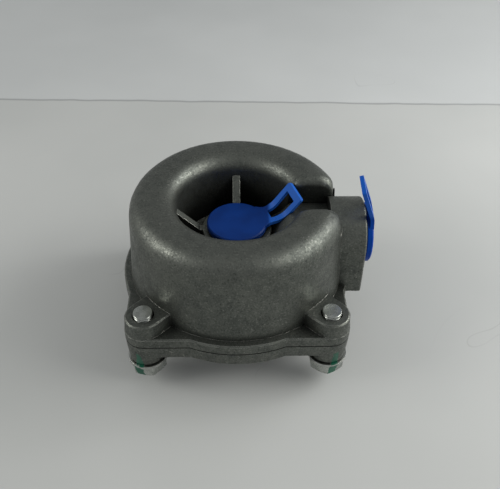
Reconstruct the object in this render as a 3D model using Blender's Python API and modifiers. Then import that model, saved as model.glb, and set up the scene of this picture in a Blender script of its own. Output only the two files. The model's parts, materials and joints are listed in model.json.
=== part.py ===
"""Automatic drain valve, float operated: a cast body with a doughnut-shaped float chamber, a bolted
cover and two blue shipping plugs.

Sizes are in millimetres and heights are measured from the parting plane between body and cover, until
MM and HUB_DEPTH turn them into metres above the stand face. The origin is on the valve's axis, at the
stand face under the cover's hub, with +Z up and the inlet port facing +X.
"""

import math

import bmesh
import bpy
from mathutils import Euler, Matrix, Vector

MM = 0.001

# Shared fits and facets
GAP = 0.3  # between faces that seat on each other
EDGE = 0.5  # chamfers on moulded and machined edges
LUG_INSET = 0.12  # keeps a lug's round side just inside the flange's, so that the two join cleanly
SEGMENTS = 60  # around the outside
INNER_SEGMENTS = 36  # around the chamber and the bores
SMALL_SEGMENTS = 24  # around bolts and lugs
PISTON_SEGMENTS = 24  # around the main valve's pieces
TINY_SEGMENTS = 12  # around screws and small holes

# Body casting
WALL = 3.3
RING_TOP = 41.5
RING_OUTER_R = 43.5
WELL_R = RING_OUTER_R * 0.563
SHOULDER_R = 8.0
LIP_R = 7.0
WALL_SPREAD = 1.8  # how much wider the wall is at the flange than under the shoulder
WALL_FOOT_R = RING_OUTER_R + WALL_SPREAD
WELL_FLOOR = 12.0
WELL_DRAFT = 0.7
BOSS_R = 14.5
BOSS_TOP = 23.9
BOSS_DRAFT = 0.8
FLANGE_T = 4.3
FLANGE_STEP = 3.1
FLANGE_R = WALL_FOOT_R + FLANGE_STEP
LUG_REACH = 3.5  # from the flange's rim out to the bolts' axes
BOLT_CIRCLE_R = FLANGE_R + LUG_REACH
LUG_R = 7.9
LUG_TOP = 10.5
LUG_DRAFT = 0.5
RIB_T = 3.2
RIB_RISE = 8.6
PASSAGE_SLOPE_DROP = 1.6
CAST_ROUND = 1.5

# Ports and the side passage
PORT_BORE_R = 9.3
PORT_DEPTH = 12.0
PORT_CHAMFER = 0.9
PASSAGE_Z = 20.7
PASSAGE_R = 9.3
PASSAGE_BORE_R = 6.2
PASSAGE_DROP_INSET = 10.0
PASSAGE_DROP_X = RING_OUTER_R - PASSAGE_DROP_INSET
PASSAGE_DROP_R = 4.6
INLET_BOSS_R = 14.95
INLET_BOSS_REACH = 8.6
INLET_FACE_X = RING_OUTER_R + INLET_BOSS_REACH
INLET_BOSS_LENGTH = 14.1
INLET_BOSS_FOOT = 1.2
SLOT_HALF = 8.5
SLOT_ROUND = 3.6

# Cover casting
COVER_T = 7.0
COVER_RECESS = 3.8
COVER_LUG_DEPTH = 11.7
COVER_LUG_STRAIGHT = 3.0
COVER_DRAFT = 0.6
HUB_R = 19.6
HUB_DRAFT = 1.2
HUB_FLOOR_T = 3.0
HUB_CONE_WIDTH = 11.4
HUB_CONE_R = HUB_R + HUB_CONE_WIDTH
HUB_CONE_DROP = 3.0
ORING_INSET = 1.7
ORING_R = WALL_FOOT_R - ORING_INSET
ORING_SECTION = 2.6

# Main valve in the hub
TUBE_R = 12.3
TUBE_END = 3.0
OUTLET_THROAT_R = 7.0
SEAT_HEIGHT = 4.4
SEAT_WALL = 2.6
SEAT_LIP = 1.0
PISTON_R = 13.7
PISTON_T = 4.4
PISTON_TOP = 12.2
PISTON_CROWN_T = 2.2
PISTON_SEAL_SECTION = 1.8
SPRING_SEAT_R = 10.4
STEM_R = 3.4
VALVE_DISC_R = 8.2
VALVE_DISC_T = 2.2
HOLDER_T = 1.8
HOLDER_RIM_T = 1.1
DISC_SCREW_R = 1.5
DISC_SCREW_LENGTH = 5.0
DISC_SCREW_HEAD_R = 3.0
DISC_SCREW_HEAD_H = 1.6
GUIDE_R = 15.0
GUIDE_T = 3.4
GUIDE_SEAL_SECTION = 1.8
SNAP_RING_T = 1.2
SNAP_RING_REACH = 1.2
SNAP_RING_WIDTH = 1.8
SNAP_RING_EAR = 3.4
SNAP_RING_GAP_TURN = 14
SNAP_RING_EAR_TURN = 12
SPRING_ROOM = 6.4
SPRING_WIRE_R = 0.6
SPRING_R = 8.0
SPRING_TURNS = 3.5
VENT_R = 1.0

# Pilot valve and float
NOZZLE_OFFSET = 2.5  # outwards from the well's wall
NOZZLE_X = WELL_R + NOZZLE_OFFSET
NOZZLE_R = 2.6
NOZZLE_H = 2.9
NOZZLE_BORE_R = 0.55
NOZZLE_SHANK_R = 1.6
PILOT_PAD_R = 4.0
PILOT_PAD_H = 2.2
NEEDLE_R = 1.1
NEEDLE_COLLAR_R = 2.0
NEEDLE_COLLAR_T = 0.7
NEEDLE_NECK_R = 0.7
LEVER_T = 0.8
LEVER_BOTTOM = 3.9
LEVER_HALF = 6.0
LEVER_ARM = 6.2
PIVOT_X = NOZZLE_X + LEVER_ARM
PIVOT_DROP = 3.0
PIVOT_R = 1.0
EAR_HALF = 2.2
BRACKET_T = 1.0
BRACKET_SCREW_OFFSET = 3.2
BRACKET_SCREW_X = PIVOT_X + BRACKET_SCREW_OFFSET
BRACKET_SCREW_Y = 2.6
BRACKET_REACH = 4.9
FLOAT_INNER_ROOM = 3.6
FLOAT_INNER_R = WELL_R + WALL + FLOAT_INNER_ROOM
FLOAT_OUTER_ROOM = 1.8
FLOAT_OUTER_R = RING_OUTER_R - WALL - FLOAT_OUTER_ROOM
FLOAT_H = 13.0
FLOAT_ROUND = 1.2
FLOAT_OPENING_TURN = 62.0  # degrees left open round the side passage
REST_POST_R = 2.4
REST_POST_TURN = 118.0
FLOAT_SCREW_TURN = 6.0

# Bolts, M8 with plain washers
BOLT_R = 4.0
BOLT_END_SHOWING = 1.4
BOLT_HEAD_H = 5.3
BOLT_HEAD_AF = 13.0
BOLT_CHAMFER = 0.9
BOLT_TURNS = (10.0, 48.0, 18.0, 0.0)  # how far each head is turned, in degrees
WASHER_R = 8.0
WASHER_T = 1.3
SCREW_R = 1.25
SCREW_LENGTH = 4.2
SCREW_BITE = 2.2
SCREW_HEAD_R = 2.2
SCREW_HEAD_H = 1.3

# Shipping plugs
PLUG_HEAD_R = 12.4
PLUG_HEAD_T = 2.8
PLUG_STEM_LENGTH = 9.0
PLUG_STEM_WALL = 1.5
TAB_T = 1.6
TAB_CORNER_R = 0.8
TAB_LENGTH = 30.9
TAB_NECK_START = 10.6
TAB_NECK_RUN = 4.0
TAB_NECK_HALF = 6.6
TAB_HALF = 5.0
TAB_HOLE_START = 14.4
TAB_HOLE_END = 27.7
TAB_HOLE_INNER_HALF = 2.3
TAB_HOLE_OUTER_HALF = 2.8
TAB_BEND_R = 7.0
OUTLET_TAB_TURN = 17.2  # how far round the plug's axis it points, in degrees
OUTLET_TAB_BEND = 62.0
OUTLET_TAB_SKEW = 18.8  # how far its bend is off square
INLET_TAB_TURN = -12.0
INLET_TAB_BEND = -20.0
INLET_TAB_SKEW = 0.0

# Finishes: colour, metallic value and roughness
FINISHES = {
    "cast_aluminium": ((0.12, 0.125, 0.115), 0.8, 0.5),
    "zinc_steel": ((0.55, 0.56, 0.53), 1.0, 0.35),
    "stainless_sheet": ((0.5, 0.5, 0.5), 1.0, 0.3),
    "brass": ((0.65, 0.48, 0.2), 1.0, 0.35),
    "blue_plastic": ((0.01, 0.07, 0.4), 0.0, 0.4),
    "float_plastic": ((0.75, 0.73, 0.66), 0.0, 0.5),
    "black_rubber": ((0.015, 0.015, 0.015), 0.0, 0.7),
}

# Worked out from the sizes above
HUB_DEPTH = PISTON_TOP + PISTON_T + SPRING_ROOM + HUB_FLOOR_T
SHOULDER_Z = RING_TOP - SHOULDER_R
SHOULDER_MID_R = RING_OUTER_R - SHOULDER_R
LIP_MID_R = WELL_R + LIP_R
CHAMBER_CEILING = WELL_FLOOR - WALL
COVER_FLOOR = -COVER_RECESS
COVER_UNDERSIDE = -COVER_T
STAND_Z = -HUB_DEPTH
HUB_FLOOR = STAND_Z + HUB_FLOOR_T
GUIDE_BOTTOM = -PISTON_TOP + GAP * 4
GUIDE_TOP = GUIDE_BOTTOM + GUIDE_T
BOLT_HOLE_R = BOLT_R + GAP
BOLT_SEAT = -COVER_LUG_DEPTH - WASHER_T - GAP * 2
BOLT_END = LUG_TOP + BOLT_END_SHOWING
SEAT_BORE_R = OUTLET_THROAT_R - 1.0
SEAT_R = SEAT_BORE_R + SEAT_WALL
SEAT_FACE = TUBE_END - SEAT_LIP
DISC_TOP = SEAT_FACE - GAP
DISC_BOTTOM = DISC_TOP - VALVE_DISC_T
HOLDER_BOTTOM = DISC_BOTTOM - GAP - HOLDER_T
STEM_TOP = HOLDER_BOTTOM - GAP
CYLINDER_R = PISTON_R + GAP
PISTON_BOTTOM = -PISTON_TOP - PISTON_T
PILOT_PAD_TOP = COVER_FLOOR + PILOT_PAD_H
NOZZLE_TOP = PILOT_PAD_TOP + GAP + NOZZLE_H
LEVER_TOP = LEVER_BOTTOM + LEVER_T
PIVOT_Z = LEVER_BOTTOM - PIVOT_DROP
FLOAT_BOTTOM = LEVER_TOP + GAP
FLOAT_MID_R = (FLOAT_INNER_R + FLOAT_OUTER_R) / 2


# Scene set-up


def clear_scene():
    for obj in list(bpy.data.objects):
        bpy.data.objects.remove(obj, do_unlink=True)


def new_collection(name):
    collection = bpy.data.collections.new(name)
    bpy.context.scene.collection.children.link(collection)
    return collection


def dress(finish, *parts):
    """Gives each part a material of its own in one of the finishes."""
    color, metallic, roughness = FINISHES[finish]
    for part in parts:
        material = bpy.data.materials.new(f"{part.name}_{finish}")
        material.use_nodes = True
        shader = material.node_tree.nodes["Principled BSDF"]
        shader.inputs["Base Color"].default_value = (*color, 1)
        shader.inputs["Metallic"].default_value = metallic
        shader.inputs["Roughness"].default_value = roughness
        part.data.materials.clear()
        part.data.materials.append(material)


clear_scene()
PARTS = new_collection("automatic_drain_valve")
CUTTERS = new_collection("cutters")


# Tools for shapes. Points are (x, y, z) or (r, z) in millimetres from the parting plane


def to_world(point):
    return Vector((point[0], point[1], point[2] + HUB_DEPTH)) * MM


def link(name, mesh, collection):
    obj = bpy.data.objects.new(name, mesh)
    collection.objects.link(obj)
    if collection is CUTTERS:
        obj.hide_render = True
        obj.display_type = "WIRE"
    return obj


def mesh_from(bm, name):
    bmesh.ops.recalc_face_normals(bm, faces=bm.faces)
    mesh = bpy.data.meshes.new(name)
    bm.to_mesh(mesh)
    bm.free()
    return mesh


def smooth(obj, angle=30):
    obj.data.shade_smooth()
    obj.data.set_sharp_from_angle(angle=math.radians(angle))


def arc(center, radius, start, end, steps):
    """Points (r, z) along a round stretch, from one angle in degrees to another."""
    angles = (math.radians(start + (end - start) * i / steps) for i in range(steps + 1))
    return [(center[0] + radius * math.cos(a), center[1] + radius * math.sin(a)) for a in angles]


def turned(name, profile, collection, closed=True, segments=SEGMENTS, at=(0, 0, 0), axis="Z"):
    """A profile (r, z) turned about the line through `at`, running down its outer side."""
    bm = bmesh.new()
    points = [bm.verts.new((r * MM, 0, z * MM)) for r, z in profile]
    for first, second in zip(points, points[1:]):
        bm.edges.new((first, second))
    if closed:
        bm.edges.new((points[-1], points[0]))
    mesh = bpy.data.meshes.new(name)
    bm.to_mesh(mesh)
    bm.free()
    obj = link(name, mesh, collection)
    obj.location = to_world(at)
    if axis == "X":
        obj.rotation_euler = Euler((0, math.pi / 2, 0))
    if axis == "Y":
        obj.rotation_euler = Euler((-math.pi / 2, 0, 0))
    screw = obj.modifiers.new("turn", "SCREW")
    screw.steps = segments
    screw.render_steps = segments
    screw.use_merge_vertices = True
    screw.merge_threshold = 0.00001
    screw.use_smooth_shade = False
    return obj


def plain_mesh(obj):
    """The same object with its modifiers made into a plain mesh."""
    bpy.context.view_layer.update()
    evaluated = obj.evaluated_get(bpy.context.evaluated_depsgraph_get())
    mesh = bpy.data.meshes.new_from_object(evaluated)
    bm = bmesh.new()
    bm.from_mesh(mesh)
    bmesh.ops.remove_doubles(bm, verts=bm.verts, dist=0.000002)
    bm.to_mesh(mesh)
    bm.free()
    obj.modifiers.clear()
    obj.data = mesh
    return obj


def set_origin(obj, place):
    """Moves an object's origin to a place, and leaves its shape where it is."""
    shift = obj.location - to_world(place)
    obj.data.transform(Matrix.Translation(shift))
    obj.location = to_world(place)
    return obj


def group(name, place, *pieces):
    """An empty on the line that these pieces move along or about, with the pieces parented to it."""
    pivot = bpy.data.objects.new(name, None)
    pivot.empty_display_size = HUB_R * MM
    PARTS.objects.link(pivot)
    pivot.location = to_world(place)
    for piece in pieces:
        piece.parent = pivot
        piece.location -= pivot.location


def plate(name, outlines, bottom, top, collection):
    """Flat outlines (x, y) filled and extruded between two heights; inner outlines are holes."""
    curve = bpy.data.curves.new(name, "CURVE")
    curve.dimensions = "2D"
    curve.fill_mode = "BOTH"
    curve.extrude = (top - bottom) / 2 * MM
    for outline in outlines:
        spline = curve.splines.new("POLY")
        spline.points.add(len(outline) - 1)
        for point, (x, y) in zip(spline.points, outline):
            point.co = (x * MM, y * MM, 0, 1)
        spline.use_cyclic_u = True
    drawn = bpy.data.objects.new(name + "_outline", curve)
    CUTTERS.objects.link(drawn)
    drawn.location = to_world((0, 0, (bottom + top) / 2))
    bpy.context.view_layer.update()
    evaluated = drawn.evaluated_get(bpy.context.evaluated_depsgraph_get())
    mesh = bpy.data.meshes.new_from_object(evaluated)
    bm = bmesh.new()
    bm.from_mesh(mesh)
    bmesh.ops.remove_doubles(bm, verts=bm.verts, dist=0.00001)
    bm.to_mesh(mesh)
    bm.free()
    obj = link(name, mesh, collection)
    obj.matrix_world = drawn.matrix_world.copy()
    bpy.data.objects.remove(drawn, do_unlink=True)
    return obj


def loft(name, rings, collection):
    """A closed solid through rings of points (x, y, z) with the same count, capped at both ends."""
    bm = bmesh.new()
    rows = [[bm.verts.new(to_world(point)) for point in ring] for ring in rings]
    count = len(rows[0])
    for first, second in zip(rows, rows[1:]):
        for i in range(count):
            j = (i + 1) % count
            bm.faces.new((first[i], first[j], second[j], second[i]))
    bm.faces.new(rows[0][::-1])
    bm.faces.new(rows[-1])
    return link(name, mesh_from(bm, name), collection)


def cylinder(name, radius, start, end, collection, segments=SMALL_SEGMENTS):
    """A round bar between two points."""
    first, second = to_world(start), to_world(end)
    along = second - first
    bm = bmesh.new()
    turn = Vector((0, 0, 1)).rotation_difference(along).to_matrix().to_4x4()
    bmesh.ops.create_cone(
        bm,
        cap_ends=True,
        segments=segments,
        radius1=radius * MM,
        radius2=radius * MM,
        depth=along.length,
        matrix=turn,
    )
    obj = link(name, mesh_from(bm, name), collection)
    obj.location = (first + second) / 2
    return obj


def box(name, low, high, collection):
    low, high = to_world(low), to_world(high)
    bm = bmesh.new()
    bmesh.ops.create_cube(bm, size=1, matrix=Matrix.Diagonal((*(high - low), 1)))
    obj = link(name, mesh_from(bm, name), collection)
    obj.location = (low + high) / 2
    return obj


def boolean(obj, tool, operation):
    modifier = obj.modifiers.new(tool.name, "BOOLEAN")
    modifier.operation = operation
    modifier.object = tool
    modifier.solver = "EXACT"


def cut(obj, *tools):
    for tool in tools:
        boolean(obj, tool, "DIFFERENCE")


def join(obj, *tools):
    for tool in tools:
        boolean(obj, tool, "UNION")


def circle(center, radius, segments):
    turns = (2 * math.pi * i / segments for i in range(segments))
    return [(center[0] + radius * math.cos(a), center[1] + radius * math.sin(a)) for a in turns]


def corners():
    """The four bolt places, with the direction of each from the axis."""
    for turn in (45, 135, 225, 315):
        a = math.radians(turn)
        yield turn, BOLT_CIRCLE_R * math.cos(a), BOLT_CIRCLE_R * math.sin(a)


# Outlines that body and cover share


def flange_outline(inset):
    """A rounded square with a lug at each corner, swelling to a circle in the middle of each side."""
    side = BOLT_CIRCLE_R / math.sqrt(2) + LUG_R - inset
    swell = FLANGE_R - inset
    half_angle = math.degrees(math.acos(side / swell))
    points = []
    for turn in (0, 90, 180, 270):
        points += arc((0, 0), swell, turn - half_angle, turn + half_angle, 10)
        lug = math.radians(turn + 45)
        center = (BOLT_CIRCLE_R * math.cos(lug), BOLT_CIRCLE_R * math.sin(lug))
        points += arc(center, LUG_R - inset, turn, turn + 90, 6)
    return points


def lug_ring(turn, inner, half_width, height, steps=8):
    """The outline of one lug at a height: a bar from the wall out to the bolt, with a round end."""
    points = [(inner, -half_width), *arc((BOLT_CIRCLE_R, 0), half_width, -90, 90, steps)]
    points.append((inner, half_width))
    a = math.radians(turn)
    c, s = math.cos(a), math.sin(a)
    return [(x * c - y * s, x * s + y * c, height) for x, y in points]


# Body


def shoulder(offset, start, end, steps):
    """The round edge outside the ring's flat top, drawn `offset` inside its outer skin."""
    return arc((SHOULDER_MID_R, SHOULDER_Z), SHOULDER_R - offset, start, end, steps)


def lip(offset, start, end, steps):
    """The round edge from the ring's flat top into the well, drawn `offset` inside the metal."""
    return arc((LIP_MID_R, RING_TOP - LIP_R), LIP_R - offset, start, end, steps)


def wall_radius(height, offset=0):
    """The outer wall's radius at a height, on its straight drafted part."""
    slope = (WALL_FOOT_R - RING_OUTER_R) / (SHOULDER_Z - FLANGE_T)
    return RING_OUTER_R + slope * (SHOULDER_Z - height) - offset


def body_outside():
    """The body as a solid: the outlet boss in its well, the ring round it and the outer wall."""
    boss_foot = BOSS_R + BOSS_DRAFT
    well_foot = WELL_R - WELL_DRAFT
    profile = [(0, BOSS_TOP), (BOSS_R - EDGE, BOSS_TOP), (BOSS_R, BOSS_TOP - EDGE)]
    profile += [(boss_foot, WELL_FLOOR + CAST_ROUND), (boss_foot + CAST_ROUND, WELL_FLOOR)]
    profile += [(well_foot - CAST_ROUND, WELL_FLOOR), (well_foot, WELL_FLOOR + CAST_ROUND)]
    profile += lip(0, 180, 90, 5) + shoulder(0, 90, 0, 5)
    return [*profile, (wall_radius(FLANGE_T / 2), FLANGE_T / 2), (0, FLANGE_T / 2)]


def chamber():
    """The float chamber round the tube, leaving solid metal round the side passage."""
    outer = wall_radius(0, WALL + GAP)
    profile = [(0, TUBE_END), (TUBE_R, TUBE_END), (TUBE_R, CHAMBER_CEILING - CAST_ROUND)]
    profile += [(TUBE_R + CAST_ROUND, CHAMBER_CEILING), (WELL_R + WALL - WELL_DRAFT, CHAMBER_CEILING)]
    profile += lip(WALL, 180, 90, 3) + shoulder(WALL, 90, 0, 3)
    profile += [(outer, 0), (outer, -WALL), (0, -WALL)]
    space = turned("chamber", profile, CUTTERS, closed=False, segments=INNER_SEGMENTS)
    half = SLOT_HALF + WALL
    cut(space, box("passage_block", (0, -half, CHAMBER_CEILING), (FLANGE_R, half, RING_TOP), CUTTERS))
    return space


def outlet_bore():
    """The threaded mouth on top, the throat below it and the pocket for the seat ring."""
    bore_floor = BOSS_TOP - PORT_DEPTH
    pocket_top = TUBE_END + SEAT_HEIGHT + GAP - SEAT_LIP
    chamfer_r = PORT_BORE_R + PORT_CHAMFER * 2
    profile = [(0, BOSS_TOP + PORT_CHAMFER), (chamfer_r, BOSS_TOP + PORT_CHAMFER)]
    profile += [(PORT_BORE_R, BOSS_TOP - PORT_CHAMFER), (PORT_BORE_R, bore_floor)]
    profile += [(OUTLET_THROAT_R, bore_floor)]
    profile += [(OUTLET_THROAT_R, pocket_top), (SEAT_R + GAP, pocket_top), (SEAT_R + GAP, 0), (0, 0)]
    return turned("outlet_bore", profile, CUTTERS, closed=False, segments=INNER_SEGMENTS)


def body_flange():
    levels = [(0, 0), (0, FLANGE_T - EDGE), (EDGE, FLANGE_T)]
    rings = [[(x, y, height) for x, y in flange_outline(inset)] for inset, height in levels]
    return loft("body_flange", rings, CUTTERS)


def body_lug(turn):
    inner = wall_radius(LUG_TOP, WALL / 2)
    half = LUG_R - LUG_INSET
    rings = [
        lug_ring(turn, inner, half, FLANGE_T / 2),
        lug_ring(turn, inner, half, FLANGE_T),
        lug_ring(turn, inner, half - LUG_DRAFT, LUG_TOP - EDGE),
        lug_ring(turn, inner, half - LUG_DRAFT - EDGE, LUG_TOP),
    ]
    return loft(f"body_lug_{turn}", rings, CUTTERS)


def slot_corner(radius, side):
    """Where the upright round edge between the slot and a wall round the axis has its middle."""
    y = SLOT_HALF + SLOT_ROUND
    return math.sqrt((radius + side * SLOT_ROUND) ** 2 - y**2)


def slot_half_width(x):
    """The slot's walls round outwards to meet the well's wall and the outer wall."""
    inner_x = slot_corner(WELL_R, 1)
    leaves_well = inner_x * WELL_R / (WELL_R + SLOT_ROUND)
    before = max(0.0, inner_x - max(x, leaves_well))
    after = min(SLOT_ROUND, max(0.0, x - slot_corner(RING_OUTER_R, -1)))
    return SLOT_HALF + SLOT_ROUND - math.sqrt(SLOT_ROUND**2 - max(before, after) ** 2)


def ring_height(reach):
    """The top of the ring at a distance from the axis."""
    past_flat = max(0.0, reach - SHOULDER_MID_R)
    short_of_flat = min(LIP_R, max(0.0, LIP_MID_R - reach))
    if short_of_flat:
        return RING_TOP - LIP_R + math.sqrt(LIP_R**2 - short_of_flat**2)
    return RING_TOP - SHOULDER_R + math.sqrt(max(0.0, SHOULDER_R**2 - past_flat**2))


def slot_edge(x, half):
    """The round-over from the slot's wall into the ring's top: an arc that touches both."""
    middle_y = half + SLOT_ROUND
    wall_y = math.sqrt(RING_OUTER_R**2 - x**2) if x < RING_OUTER_R else half
    steps = [half + SLOT_ROUND * 2 * i / 60 for i in range(61)]
    skin = [(y, ring_height(math.hypot(x, y))) for y in steps if y < wall_y]
    skin += [(max(half, wall_y), SHOULDER_Z - SLOT_ROUND * i / 20) for i in range(40)]
    low, high = RING_TOP - LIP_R - SLOT_ROUND * 3, RING_TOP
    for _ in range(30):
        middle_z = (low + high) / 2
        touch = min(skin, key=lambda point: math.hypot(point[0] - middle_y, point[1] - middle_z))
        if math.hypot(touch[0] - middle_y, touch[1] - middle_z) < SLOT_ROUND:
            high = middle_z
        else:
            low = middle_z
    angle = math.degrees(math.atan2(touch[1] - middle_z, touch[0] - middle_y))
    return arc((middle_y, middle_z), SLOT_ROUND, 180, max(20.0, min(175.0, angle)), 5)


def slot_section(x):
    """The slot across the ring at one place."""
    half = slot_half_width(x)
    edge = slot_edge(max(x, slot_corner(WELL_R, 1) * WELL_R / (WELL_R + SLOT_ROUND)), half)
    side = [(half, PASSAGE_Z), *edge, (edge[-1][0], RING_TOP + SLOT_ROUND)]
    return [(x, y, z) for y, z in side] + [(x, -y, z) for y, z in side[::-1]]


def slot_cutter():
    """The slot from the well to the inlet boss, lofted through its sections."""
    inner_x = slot_corner(WELL_R, 1)
    outer_x = slot_corner(RING_OUTER_R, -1)
    leaves_well = inner_x * WELL_R / (WELL_R + SLOT_ROUND)
    stations = [WELL_R - CAST_ROUND * 2]
    stations += [leaves_well + (inner_x - leaves_well) * k for k in (0, 0.15, 0.4, 0.7, 1)]
    stations += [inner_x + (outer_x - inner_x) * i / 7 for i in range(1, 8)]
    stations += [outer_x + SLOT_ROUND * k for k in (0.25, 0.45, 0.62, 0.76, 0.87, 0.95, 0.99)]
    sections = [slot_section(x) for x in stations]
    last = [(INLET_FACE_X, y, z) for _, y, z in sections[-1]]
    return loft("slot_cutter", [*sections, last], CUTTERS)


def arch_ring(x, radius, foot, foot_spread, steps=14):
    """An arch across X: a half-round top on upright sides that spread a little to the foot."""
    points = arc((0, PASSAGE_Z), radius, 0, 180, steps)
    points += [(-radius - foot_spread, foot), (radius + foot_spread, foot)]
    return [(x, y, z) for y, z in points]


def passage_arch():
    """The arched roof of the side passage, ending in a slope towards the outlet boss like the ribs."""
    inner = BOSS_R - WALL / 2
    outer = INLET_FACE_X - INLET_BOSS_LENGTH + WALL
    rings = [arch_ring(x, PASSAGE_R, WELL_FLOOR - WALL / 2, 0) for x in (inner, outer)]
    arch = loft("passage_arch", rings, CUTTERS)
    slope_start = BOSS_R + BOSS_DRAFT
    reach = PASSAGE_R * 3
    rise = RIB_RISE / (WELL_R - slope_start) * reach
    start_z = BOSS_TOP - PASSAGE_SLOPE_DROP
    wedge = [(slope_start - reach, start_z - rise), (slope_start + reach, start_z + rise)]
    wedge.append((slope_start - reach, start_z + rise))
    rings = [[(x, y, z) for x, z in wedge] for y in (-reach, reach)]
    cut(arch, loft("passage_slope", rings, CUTTERS))
    return arch


def inlet_boss():
    inner = INLET_FACE_X - INLET_BOSS_LENGTH
    rings = [
        arch_ring(inner, INLET_BOSS_R, INLET_BOSS_FOOT, BOSS_DRAFT),
        arch_ring(INLET_FACE_X - EDGE, INLET_BOSS_R, INLET_BOSS_FOOT, BOSS_DRAFT),
        arch_ring(INLET_FACE_X, INLET_BOSS_R - EDGE, INLET_BOSS_FOOT + EDGE, BOSS_DRAFT),
    ]
    return loft("inlet_boss", rings, CUTTERS)


def inlet_bore():
    """The threaded mouth, the passage behind it and the drop into the float chamber."""
    mouth_end = INLET_FACE_X - PORT_DEPTH
    end = PASSAGE_DROP_X - PASSAGE_DROP_R * 0.6
    chamfer_r = PORT_BORE_R + PORT_CHAMFER * 2
    profile = [(0, INLET_FACE_X + PORT_CHAMFER), (chamfer_r, INLET_FACE_X + PORT_CHAMFER)]
    profile += [(PORT_BORE_R, INLET_FACE_X - PORT_CHAMFER), (PORT_BORE_R, mouth_end)]
    profile += [(PASSAGE_BORE_R, mouth_end)]
    profile += [(PASSAGE_BORE_R, end), (0, end)]
    place = (0, 0, PASSAGE_Z)
    bore = turned("inlet_bore", profile, CUTTERS, closed=False, segments=INNER_SEGMENTS, at=place, axis="X")
    drop_top = (PASSAGE_DROP_X, 0, PASSAGE_Z + PASSAGE_DROP_R / 2)
    drop = cylinder("inlet_drop", PASSAGE_DROP_R, drop_top, (PASSAGE_DROP_X, 0, 0), CUTTERS)
    return bore, drop


def well_rib(turn):
    """A gusset in the well, its top sloping from the well's wall down to the outlet boss."""
    inner, outer = BOSS_R - WALL / 2, WELL_R + WALL / 3
    slope_start = BOSS_R + BOSS_DRAFT
    rise = RIB_RISE / (WELL_R - slope_start)
    foot = WELL_FLOOR - WALL / 2
    top_outer = BOSS_TOP + rise * (outer - slope_start)
    top_inner = BOSS_TOP - GAP
    side = [(inner, foot), (outer, foot), (outer, top_outer), (slope_start, top_inner), (inner, top_inner)]
    a = math.radians(turn)
    c, s = math.cos(a), math.sin(a)
    rings = []
    for y in (-RIB_T / 2, RIB_T / 2):
        rings.append([(r * c - y * s, r * s + y * c, z) for r, z in side])
    return loft(f"well_rib_{turn}", rings, CUTTERS)


def build_body():
    body = turned("body", body_outside(), PARTS, closed=False)
    join(body, body_flange())
    for turn, x, y in corners():
        join(body, body_lug(turn))
    cut(body, slot_cutter())
    join(body, passage_arch(), inlet_boss())
    for turn in (90, 180, 270):
        join(body, well_rib(turn))
    cut(body, chamber(), outlet_bore(), *inlet_bore())
    for turn, x, y in corners():
        start, end = (x, y, -COVER_T), (x, y, LUG_TOP + LUG_R)
        cut(body, cylinder(f"body_bolt_hole_{turn}", BOLT_HOLE_R, start, end, CUTTERS))
    return plain_mesh(body)


# Cover


def cover_outside():
    """The cover's plate and the hub that holds the main valve, as a solid."""
    hub_foot = HUB_R - HUB_DRAFT
    cone_foot = HUB_R + CAST_ROUND * 2
    inside_flange = (HUB_CONE_R + (HUB_CONE_R - cone_foot) * 0.6, COVER_UNDERSIDE + HUB_CONE_DROP * 0.6)
    middle = -COVER_T / 5
    profile = [(0, middle), (inside_flange[0], middle), inside_flange]
    profile += [(cone_foot, COVER_UNDERSIDE - HUB_CONE_DROP)]
    profile += [(HUB_R, COVER_UNDERSIDE - HUB_CONE_DROP * 2), (hub_foot, STAND_Z + CAST_ROUND)]
    profile += arc((hub_foot - CAST_ROUND, STAND_Z + CAST_ROUND), CAST_ROUND, 0, -90, 3)[1:]
    return [*profile, (0, STAND_Z)]


def cover_inside():
    """The recess under the float, the stem guide's bore with its ring groove, and the piston's cylinder."""
    groove_bottom = GUIDE_TOP + GAP
    groove_top = groove_bottom + SNAP_RING_T + GAP
    bore_r = GUIDE_R + GAP
    recess_r = ORING_R - ORING_SECTION
    profile = [(0, WALL), (recess_r, WALL), (recess_r, COVER_FLOOR + CAST_ROUND)]
    profile += [(recess_r - CAST_ROUND, COVER_FLOOR), (bore_r, COVER_FLOOR), (bore_r, groove_top)]
    profile += [(bore_r + SNAP_RING_REACH, groove_top), (bore_r + SNAP_RING_REACH, groove_bottom)]
    profile += [(bore_r, groove_bottom), (bore_r, GUIDE_BOTTOM - GAP), (CYLINDER_R, GUIDE_BOTTOM - GAP)]
    return [*profile, (CYLINDER_R, HUB_FLOOR), (0, HUB_FLOOR)]


def groove_cutter():
    half = ORING_SECTION / 2 + GAP / 2
    bottom = -GAP - ORING_SECTION * 0.85
    low, high = ORING_R - half, ORING_R + half
    profile = [(low, WALL), (high, WALL), (high, bottom), (low, bottom)]
    return turned("oring_groove", profile, CUTTERS, segments=INNER_SEGMENTS)


def cover_flange():
    levels = [(0, -GAP), (COVER_DRAFT, COVER_UNDERSIDE + EDGE), (COVER_DRAFT + EDGE, COVER_UNDERSIDE)]
    rings = [[(x, y, height) for x, y in flange_outline(inset)] for inset, height in levels]
    return loft("cover_flange", rings, CUTTERS)


def cover_lug(turn, x, y):
    """A round boss under the flange at one bolt, straight at the top and tapering to its foot."""
    bottom = -COVER_LUG_DEPTH
    radius = LUG_R - LUG_INSET
    levels = [(radius, -COVER_LUG_STRAIGHT / 2), (radius, -COVER_LUG_STRAIGHT)]
    levels += [(radius - COVER_DRAFT, bottom + EDGE), (radius - COVER_DRAFT - EDGE, bottom)]
    rings = [[(px, py, z) for px, py in circle((x, y), r, SMALL_SEGMENTS)] for r, z in levels]
    return loft(f"cover_lug_{turn}", rings, CUTTERS)


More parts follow.
